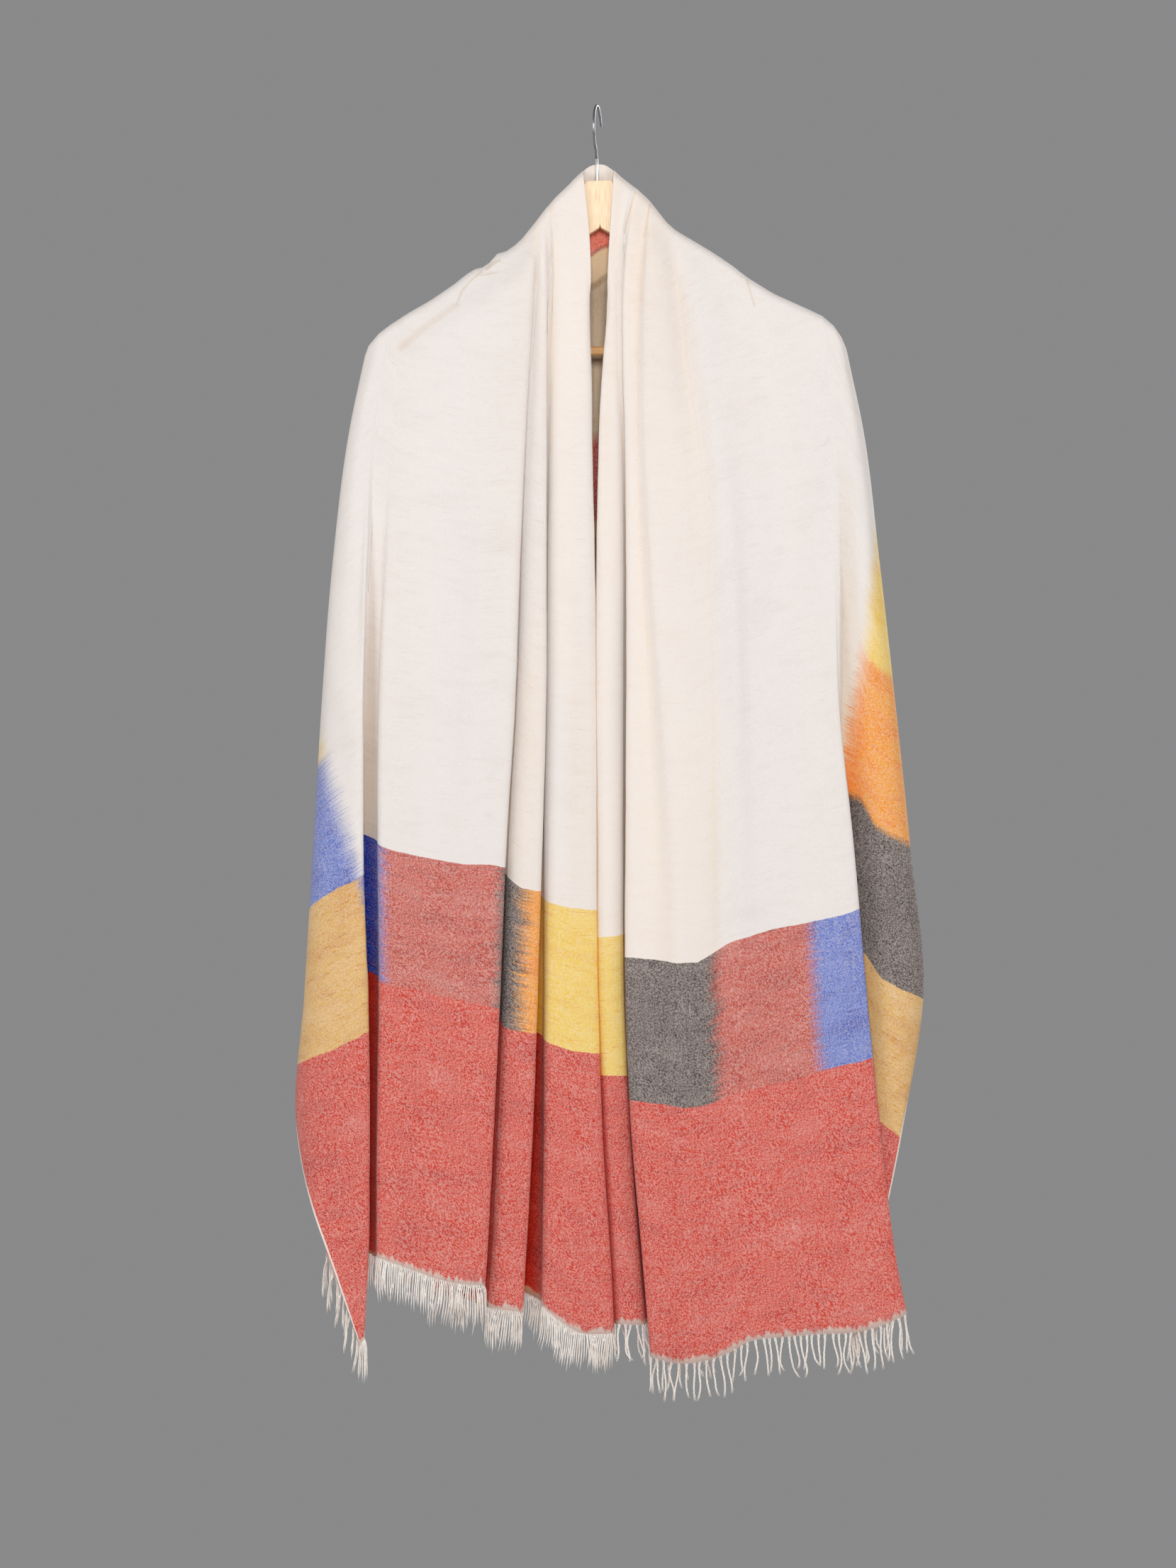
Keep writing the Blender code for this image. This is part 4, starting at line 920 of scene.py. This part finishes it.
def cloth_finish():
    g = Graph("wool_twill")
    weft, warp, _ = g.split(g.uv("weave"))
    behind, fold_shade_share, _ = g.split(g.uv("part_and_fold_shade"))

    def grain(name):
        fine_weft, fine_warp, detail, rough = GRAINS[name]
        return g.noise(g.point(g.times(weft, fine_weft), g.times(warp, fine_warp)), detail, rough)

    def uneven(name, amount, middle=0.5):
        return g.times(g.minus(grain(name), middle), amount)

    # Each weft yarn was tied and dyed by itself, so its colours start a little early or late.
    dyed = g.plus(weft, g.plus(uneven("yarn", 0.034), uneven("yarn_group", 0.008)))
    waver = uneven("waver", 0.0016)
    along = g.plus(warp, waver)
    near_end = g.math("MINIMUM", along, g.minus(SHAWL_LONG, along))

    colour = g.mix(g.step(grain("field"), 0.35, 0.7), CREAM, COOL_CREAM)
    colour = g.mix(g.step(grain("band"), 0.4, 0.7, 0, 0.5), colour, SHADED_CREAM)
    colour = g.mix(g.step(weft, 0.33, 0.38, 0, 0.7), colour, COOL_CREAM)
    heart = g.ramp(g.math("DIVIDE", weft, SHAWL_WIDE), HEART_STOPS)
    from_middle = g.math("ABSOLUTE", g.minus(warp, SHAWL_LONG / 2))
    in_heart = g.times(g.step(from_middle, *HEART_ENDS), g.math("GREATER_THAN", behind, 0.5))
    colour = g.mix(in_heart, colour, heart)
    border = g.ramp(g.math("DIVIDE", along, SHAWL_LONG), soft_stops(BORDER, SHAWL_LONG, EDGE))
    in_border = g.step(dyed, BORDER_START - BORDER_BLEED, BORDER_START + BORDER_BLEED)
    colour = g.mix(in_border, colour, border)
    row = g.ramp(g.math("DIVIDE", dyed, SHAWL_WIDE), soft_stops(BLOCKS, SHAWL_WIDE, BLEED))
    for end, dye in ((BLOCK_ROW, row), (END_BAND, CORAL)):
        colour = g.mix(g.step(near_end, end + EDGE, end - EDGE), colour, dye)
    outer = g.step(g.plus(weft, waver), *(SHAWL_WIDE - wide for wide in SELVEDGE_WIDE))
    colour = g.mix(outer, colour, SELVEDGE)

    # Uneven hand-spun yarn: the dye lies deeper in blots, flecks and slubs along the weft.
    deep = g.deepened(colour)
    _, green, _ = g.make("SeparateColor", colour).outputs
    taken = g.step(green, 0.84, 0.66, 0.3, 1.0)
    spots = {name: grain(name) for name in SPOTS}
    for name, (low, high, most) in SPOTS.items():
        colour = g.mix(g.times(taken, g.step(spots[name], low, high, 0, most)), colour, deep)
    # The dye bath took unevenly, in broad soft clouds.
    cloud = grain("cloud")
    colour = g.mix(g.step(cloud, 0.50, 0.75, 0, 0.07), colour, UNDYED)
    colour = g.mix(g.times(taken, g.step(cloud, 0.50, 0.28, 0, 0.4)), colour, deep)
    # Twill: undyed warp shows through the dyed weft in fine slanting lines, never quite even.
    x, y, z = g.split(g.place())
    slanted = g.point(g.times(g.plus(x, z), TWILL_FINE), g.times(g.minus(x, z), TWILL_LONG),
                      g.times(y, TWILL_DEEP))
    twill = g.step(g.noise(slanted, 1, 0.5), 0.39, 0.61, 0.06, 0.94)
    colour = g.mix(g.times(twill, 0.33), colour, UNDYED)
    colour = g.mix(g.step(grain("pale"), 0.55, 0.8, 0, 0.14), colour, UNDYED)
    # The last weft yarns are loose, and the undyed warp ends show between them.
    loose = g.minus(near_end, uneven("fray", 0.016, 0.35))
    colour = g.mix(g.step(loose, 0.0042, 0.0004, 0, 0.85), colour, FRINGE)
    # Painted shade: in folds the colour is darkened and warmed, as light that goes from wall to wall in a
    # fold takes on the wool's colour.
    painted_fold_shade = g.fill(g.make("HueSaturation"), {"Saturation": 1.25, "Color": g.deepened(colour)}).outputs[0]
    painted_fold_shade = g.mix(1.0, painted_fold_shade, FOLD_SHADE_TINT, "MULTIPLY")
    _, faced, _ = g.split(g.make("NewGeometry").outputs["Normal"])
    forward = g.step(faced, 0.2, -0.2)
    colour = g.mix(g.times(forward, g.step(fold_shade_share, 0.05, 1.0)), colour, painted_fold_shade)
    # Painted crease shade along the tuck lines of the neck and shoulders.
    colour = g.mix(tuck_shade(g), colour, painted_fold_shade)
    height = g.plus(g.times(twill, 0.5), g.times(spots["flecks"], 0.5))
    return g.surface({"Base Color": colour, "Roughness": 0.92, "Specular IOR Level": 0.15,
                      "Sheen Weight": 0.1, "Sheen Roughness": 0.5, "Normal": g.bump(height, 0.35, 0.0004)})


# Noise of the wood, to the metre across, in depth and upwards, and its detail.
WOOD_GRAIN = (((26, 60, 14), 4), ((900, 900, 70), 3))


def wood_finish(name, pale, dark, streak):
    g = Graph(name)
    place = g.split(g.place())
    grain, fine = (g.noise(g.point(*map(g.times, place, scales)), detail, 0.6)
                   for scales, detail in WOOD_GRAIN)
    colour = g.mix(g.step(grain, 0.3, 0.7), pale, dark)
    colour = g.mix(g.step(fine, 0.45, 0.8, 0, 0.45), colour, streak)
    return g.surface({"Base Color": colour, "Roughness": g.step(fine, 0.2, 0.8, 0.32, 0.5),
                      "Normal": g.bump(fine, 0.15, 0.0003)})


# The top of the plain straight end of the wire above the hanger, painted near white as a highlight, and its
# soft edge, in metres.
FERRULE_HIGHLIGHT_TOP = -0.0455
FERRULE_HIGHLIGHT_EDGE = 0.0006


def chrome_finish():
    g = Graph("plated_wire")
    place = g.place()
    drawn = g.noise(place, 3, 0.6, 900)
    _, _, height = g.split(place)
    # Painted highlight: the straight end is near white, and rougher.
    ferrule_highlight = g.step(height, FERRULE_HIGHLIGHT_TOP, FERRULE_HIGHLIGHT_TOP - FERRULE_HIGHLIGHT_EDGE)
    wire = g.mix(drawn, linear(136, 136, 140), linear(166, 166, 170))
    rough = g.plus(g.step(drawn, 0.3, 0.8, 0.28, 0.36), g.times(ferrule_highlight, 0.25))
    return g.surface({"Base Color": g.mix(ferrule_highlight, wire, linear(246, 246, 248)), "Metallic": 1,
                      "Roughness": rough})


def yarn_finish():
    g = Graph("fringe_yarn")
    place = g.place()
    tone = g.noise(place, 3, 0.6, 320)
    tint = g.noise(place, 2, 0.5, 45)
    colour = g.mix(g.step(tone, 0.3, 0.7), linear(255, 250, 243), linear(240, 227, 216))
    colour = g.mix(g.step(tint, 0.5, 0.8, 0, 0.4), colour, linear(236, 212, 198))
    return g.surface({"Base Color": colour, "Roughness": 0.9, "Sheen Weight": 0.25,
                      "Normal": g.bump(tone, 0.4, 0.0006)})


TUBE_SIDES = 4
TUBE_TURN = 0.4


def add_tubes(name, lines, radii, finish):
    """Fine tubes round lines that have the same number of points, as one object."""
    lines = np.stack(lines)
    way = unit(np.gradient(lines, axis=1))
    across = unit(np.cross(way, (0, 1, 0.001)))
    other = np.cross(way, across)
    turn = (np.arange(TUBE_SIDES) * 2 * math.pi / TUBE_SIDES + TUBE_TURN)[:, None]
    ring = across[:, :, None] * np.cos(turn) + other[:, :, None] * np.sin(turn)
    points = lines[:, :, None] + ring * radii[:, None, None]
    numbers = np.arange(points.size // 3).reshape(points.shape[:3])
    walls = quads(np.concatenate([numbers, numbers[:, :, :1]], axis=2))
    faces = np.concatenate([walls, numbers[:, :1, ::-1], numbers[:, -1:]], axis=1).reshape(-1, 4)
    return add_object(name, new_mesh(name, points.reshape(-1, 3) * MM, faces.tolist()), finish)


def lengths_along(points):
    return np.concatenate([[0], np.cumsum(np.linalg.norm(np.diff(points[:, :3], axis=0), axis=1))])


def at_distance(points, distance):
    """The point at a distance along a line, as a row of its own."""
    lengths = lengths_along(points)
    return np.stack([np.interp([distance], lengths, points[:, axis]) for axis in range(3)], axis=1)


def draw(chance, ranges):
    return [chance.uniform(*ends) for ends in ranges]


# The ranges of a lock of the left fringe: width, length, lean, bend, and the part of its width that it
# draws together to. Those of a strand in it: part of the length, depth and sway.
LOCK = ((5.0, 8.5), (31, 40), (-0.14, 0.04), (-2.4, 2.4), (0.28, 0.44))
LOCK_STRAND = ((0.82, 1.06), (-0.6, 0.6), (-0.3, 0.3))
LOCK_GAP = (0.2, 1.2)
STRAND_WIDE = 1.25
# How near cloth is, and how far before a lock, to hide it, and the share of hidden ones with no strands.
COVER_NEAR = 1.5
COVER_DEEP = 3
COVERED_BARE = 0.8


def left_fringe(hem, finish):
    """Locks of loose yarn that draw together downwards and end in wisps."""
    chance = np.random.default_rng(21)
    lines = []
    down = np.linspace(0, 1, 9)
    total = lengths_along(hem)[-1]
    place = 2.0
    while place < total - 2:
        wide, long, lean, bend, gathered = draw(chance, LOCK)
        body = wide * gathered
        middle = at_distance(hem, place + wide / 2)[0]
        near = np.abs(hem[:, 0] - middle[0]) < COVER_NEAR
        hidden = np.any(hem[near, 1] < middle[1] - COVER_DEEP)
        bare = chance.random() < COVERED_BARE
        strands = round(wide / STRAND_WIDE)
        for strand in range(strands):
            share = (strand + 0.5) / strands - 0.5
            own, depth, sway = draw(chance, LOCK_STRAND)
            own = long * own * (1 - 0.3 * abs(share))
            spread = wide * 0.94 + (body - wide * 0.94) * smooth(down / 0.2)
            spread = spread * (1 - 0.9 * smooth((down - 0.5) / 0.5))
            line = np.repeat(at_distance(hem, place + wide * (0.5 + share)), len(down), axis=0)
            line[:, 0] += lean * own * down + bend * np.sin(down * 2.6) + share * (spread - wide)
            line[:, 0] += sway * np.sin(down * 5 + strand)
            line[:, 1] += depth * smooth(down * 2)
            line[:, 2] += 1.2 - own * down
            if not (hidden and bare):
                lines.append(line)
        place += wide + chance.uniform(*LOCK_GAP)
    radii = 0.66 * (1 - 0.3 * down) * np.where(down > 0.72, (1 - down) * 3.0 + 0.16, 1)
    return add_tubes("fringe_yarns_left", lines, radii, finish)


# The ranges of a twisted strand of the right fringe: length, lean, the size, pitch and start of its
# wave, how its end hooks, and depth.
TWIST = ((29, 39), (-0.10, 0.16), (0.5, 1.5), (5, 9), (0, 6), (-1, 1), (-1.2, 1.2))
TWIST_GAP = (4.6, 7.6)
TWIST_YARNS = 3


def right_fringe(hem, finish):
    """Thin wavy strands, each of yarns twisted on one another, some hooked at the end."""
    chance = np.random.default_rng(34)
    lines = []
    down = np.linspace(0, 1, 15)
    loose = smooth((0.25 - down) / 0.25) + smooth((down - 0.75) / 0.25) * 0.9
    apart = 0.45 + 0.55 * loose
    total = lengths_along(hem)[-1]
    place = 2.5
    while place < total - 1:
        long, lean, wave, pitch, start, hook, depth = draw(chance, TWIST)
        hook = hook ** 3 * 8
        spine = np.repeat(at_distance(hem, place), len(down), axis=0)
        waved = wave * np.sin(down * long / pitch + start)
        spine[:, 0] += lean * long * down + waved - wave * math.sin(start)
        spine[:, 0] += hook * np.maximum(down - 0.7, 0) ** 1.5 * 4
        spine[:, 1] += depth * down
        spine[:, 2] += 0.8 - long * down + abs(hook) * np.maximum(down - 0.75, 0) * 1.2
        twist = chance.choice((-1, 1)) * down * long / 2.1 + start
        for yarn in range(TWIST_YARNS):
            turn = twist + yarn * 2 * math.pi / TWIST_YARNS
            line = spine.copy()
            line[:, 0] += np.cos(turn) * apart
            line[:, 1] += np.sin(turn) * apart * 0.7
            lines.append(line)
        place += chance.uniform(*TWIST_GAP)
    radii = 0.52 * (1 - 0.2 * down) * np.where(down > 0.8, (1 - down) * 4 + 0.2, 1)
    return add_tubes("fringe_yarns_right", lines, radii, finish)


# The hook in its own plane, forward and up: its stem, then its bow from one angle to the other.
HOOK_STEM = ((0, -64.9), (0, -60), (0, -55), (0, -51), (-2.0, -47), (-6.5, -43))
HOOK_CENTRE = -19.3
HOOK_RADIUS = 20.5
HOOK_FROM = math.radians(-118)
HOOK_TO = math.radians(-344)
HOOK_STEPS = 22
# The plane is turned from straight ahead, and stands a little aside.
HOOK_TURN = math.radians(9)
HOOK_ASIDE = -0.5
WIRE_RADIUS = 1.2


def build_hook(finish):
    """The wire hook with its bow, finer than the frame's and on the same line."""
    points = list(HOOK_STEM)
    for step in range(HOOK_STEPS + 1):
        angle = HOOK_FROM + (HOOK_TO - HOOK_FROM) * step / HOOK_STEPS
        points.append((HOOK_RADIUS * math.cos(angle), HOOK_CENTRE + HOOK_RADIUS * math.sin(angle)))
    path = bpy.data.curves.new("wire_hook", "CURVE")
    path.dimensions = "3D"
    path.bevel_depth = WIRE_RADIUS * MM
    path.bevel_resolution = 4
    path.use_fill_caps = True
    path.resolution_u = 6
    run = path.splines.new("BEZIER")
    run.bezier_points.add(len(points) - 1)
    for place, (forward, height) in zip(run.bezier_points, points):
        x = forward * math.sin(HOOK_TURN) + HOOK_ASIDE
        place.co = (x * MM, forward * math.cos(HOOK_TURN) * MM, height * MM)
        place.handle_left_type = "AUTO"
        place.handle_right_type = "AUTO"
    return add_object("wire_hook", path, finish)


# Half outline of the wooden face at the neck, across and down from the top of the neck.
HEAD_HALF = ((11.2, -0.3), (13.7, -5.1), (19, -8.6), (19, -52.2), (11.5, -48.0), (0.5, -41.6))
HEAD_NOTCH = -38.6
NECK_TOP = (0.6, -65)
HANGER_TILT = math.radians(1.8)
BOARD_FRONT = -6
HEAD_PROUD = 0.7
HEAD_SUNK = 0.3
HEAD_ROUND = 0.35


def build_head(finish):
    """The thin wooden face over the joint of the arms, with its small notch below."""
    edit = bmesh.new()
    ring = []
    for x, z in (*HEAD_HALF, (0, HEAD_NOTCH), *((-x, z) for x, z in reversed(HEAD_HALF))):
        turned_x = x * math.cos(HANGER_TILT) - z * math.sin(HANGER_TILT)
        turned_z = x * math.sin(HANGER_TILT) + z * math.cos(HANGER_TILT)
        ring.append(edit.verts.new(((NECK_TOP[0] + turned_x) * MM, (BOARD_FRONT - HEAD_PROUD) * MM,
                                    (NECK_TOP[1] + turned_z) * MM)))
    extruded = bmesh.ops.extrude_face_region(edit, geom=[edit.faces.new(ring)])
    moved = [item for item in extruded["geom"] if isinstance(item, bmesh.types.BMVert)]
    bmesh.ops.translate(edit, verts=moved, vec=(0, (HEAD_PROUD + HEAD_SUNK) * MM, 0))
    bmesh.ops.recalc_face_normals(edit, faces=edit.faces)
    mesh_data = bpy.data.meshes.new("hanger_face")
    edit.to_mesh(mesh_data)
    edit.free()
    made = add_object("hanger_face", mesh_data, finish)
    rounded = made.modifiers.new("round", "BEVEL")
    rounded.width = HEAD_ROUND * MM
    rounded.segments = 2
    return made


FLOOR_RADIUS = 3.0
FLOOR_HEIGHT = -1.9
FLOOR_SIDES = 64
# Each lamp: its name, its place, the height on the object's middle that it is aimed at, its size, its
# power. Lengths are in metres.
LAMPS = (
    ("key", (-2.3, -2.0, 0.5), -0.55, 1.2, 26),
    ("fill", (2.4, -1.9, 0.2), -0.6, 1.2, 19),
    ("front", (0.05, -3.0, 0.25), -0.45, 0.8, 39),
    ("rear", (1.7, 2.3, 0.5), -0.5, 1.3, 40),
    ("rear_fill", (-2.3, 1.8, 0.2), -0.5, 1.3, 12),
)


def build_stage():
    """Pale floor below the hanging cloth, and a plain pale surround."""
    turn = np.arange(FLOOR_SIDES) * 2 * math.pi / FLOOR_SIDES
    ring = np.stack([FLOOR_RADIUS * np.cos(turn), FLOOR_RADIUS * np.sin(turn),
                     np.full(FLOOR_SIDES, FLOOR_HEIGHT)], axis=1)
    floor = new_mesh("floor", ring, [list(range(FLOOR_SIDES))])
    g = Graph("pale_floor")
    colour = g.mix(g.noise(g.place(), 3, 0.5, 6), linear(214, 214, 214), linear(222, 222, 222))
    add_object("floor", floor, g.surface({"Base Color": colour, "Roughness": 0.9}))
    world = bpy.data.worlds.new("studio")
    world.use_nodes = True
    background = world.node_tree.nodes["Background"]
    background.inputs["Color"].default_value = (0.60, 0.60, 0.61, 1)
    background.inputs["Strength"].default_value = 0.42
    bpy.context.scene.world = world


def add_lamp(name, place, aim, size, power):
    lamp = bpy.data.lights.new(name, "AREA")
    lamp.shape = "SQUARE"
    lamp.size = size
    lamp.energy = power
    holder = add_object(name, lamp)
    holder.visible_camera = False
    holder.location = place
    holder.rotation_mode = "QUATERNION"
    holder.rotation_quaternion = (Vector((0, 0, aim)) - Vector(place)).to_track_quat("-Z", "Y")


def build_camera():
    camera = bpy.data.cameras.new("camera")
    camera.sensor_width = SENSOR
    camera.lens = SENSOR * CAMERA_AWAY / FRAME_TALL
    camera.clip_end = 50
    holder = add_object("camera", camera)
    holder.location = (CAMERA_ACROSS, CLOTH_FRONT - CAMERA_AWAY, CAMERA_HEIGHT)
    holder.rotation_euler = (math.radians(90), 0, 0)
    bpy.context.scene.camera = holder


wool = cloth_finish()
wood = wood_finish("clear_pale_wood", linear(252, 224, 186), linear(238, 200, 144), linear(222, 178, 118))
# The bar's wood is a darker, warmer copy of the pale wood: painted shade, as the bar hangs deep inside the
# shawl.
shaded_bar_wood = wood_finish("clear_wood_in_painted_shade", linear(226, 176, 118), linear(206, 152, 96), linear(186, 130, 76))
chrome = chrome_finish()
yarn = yarn_finish()

shawl, left_grid, right_grid = build_cloth(wool)
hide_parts("shawl_front_left", "shawl_front_right", "shawl_back")
fringe_left = left_fringe(left_grid[-1], yarn)
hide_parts("fringe_left")
fringe_right = right_fringe(right_grid[-1], yarn)
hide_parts("fringe_right")
hook = build_hook(chrome)
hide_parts("hook")
head = build_head(wood)

for piece, slot in ((shawl, "undyed_wool"), (fringe_left, "fringe_wool"), (fringe_right, "fringe_wool"),
                    (hook, "chrome_wire"), (head, "pale_wood")):
    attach(piece, "root")
for name in ("hanger_arm_left", "hanger_arm_right", "hanger_bar"):
    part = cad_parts[name]
    for place in part.material_slots:
        place.material = shaded_bar_wood if name == "hanger_bar" else wood

build_stage()
for lamp in LAMPS:
    add_lamp(*lamp)
build_camera()
bpy.context.scene.view_settings.view_transform = "Standard"
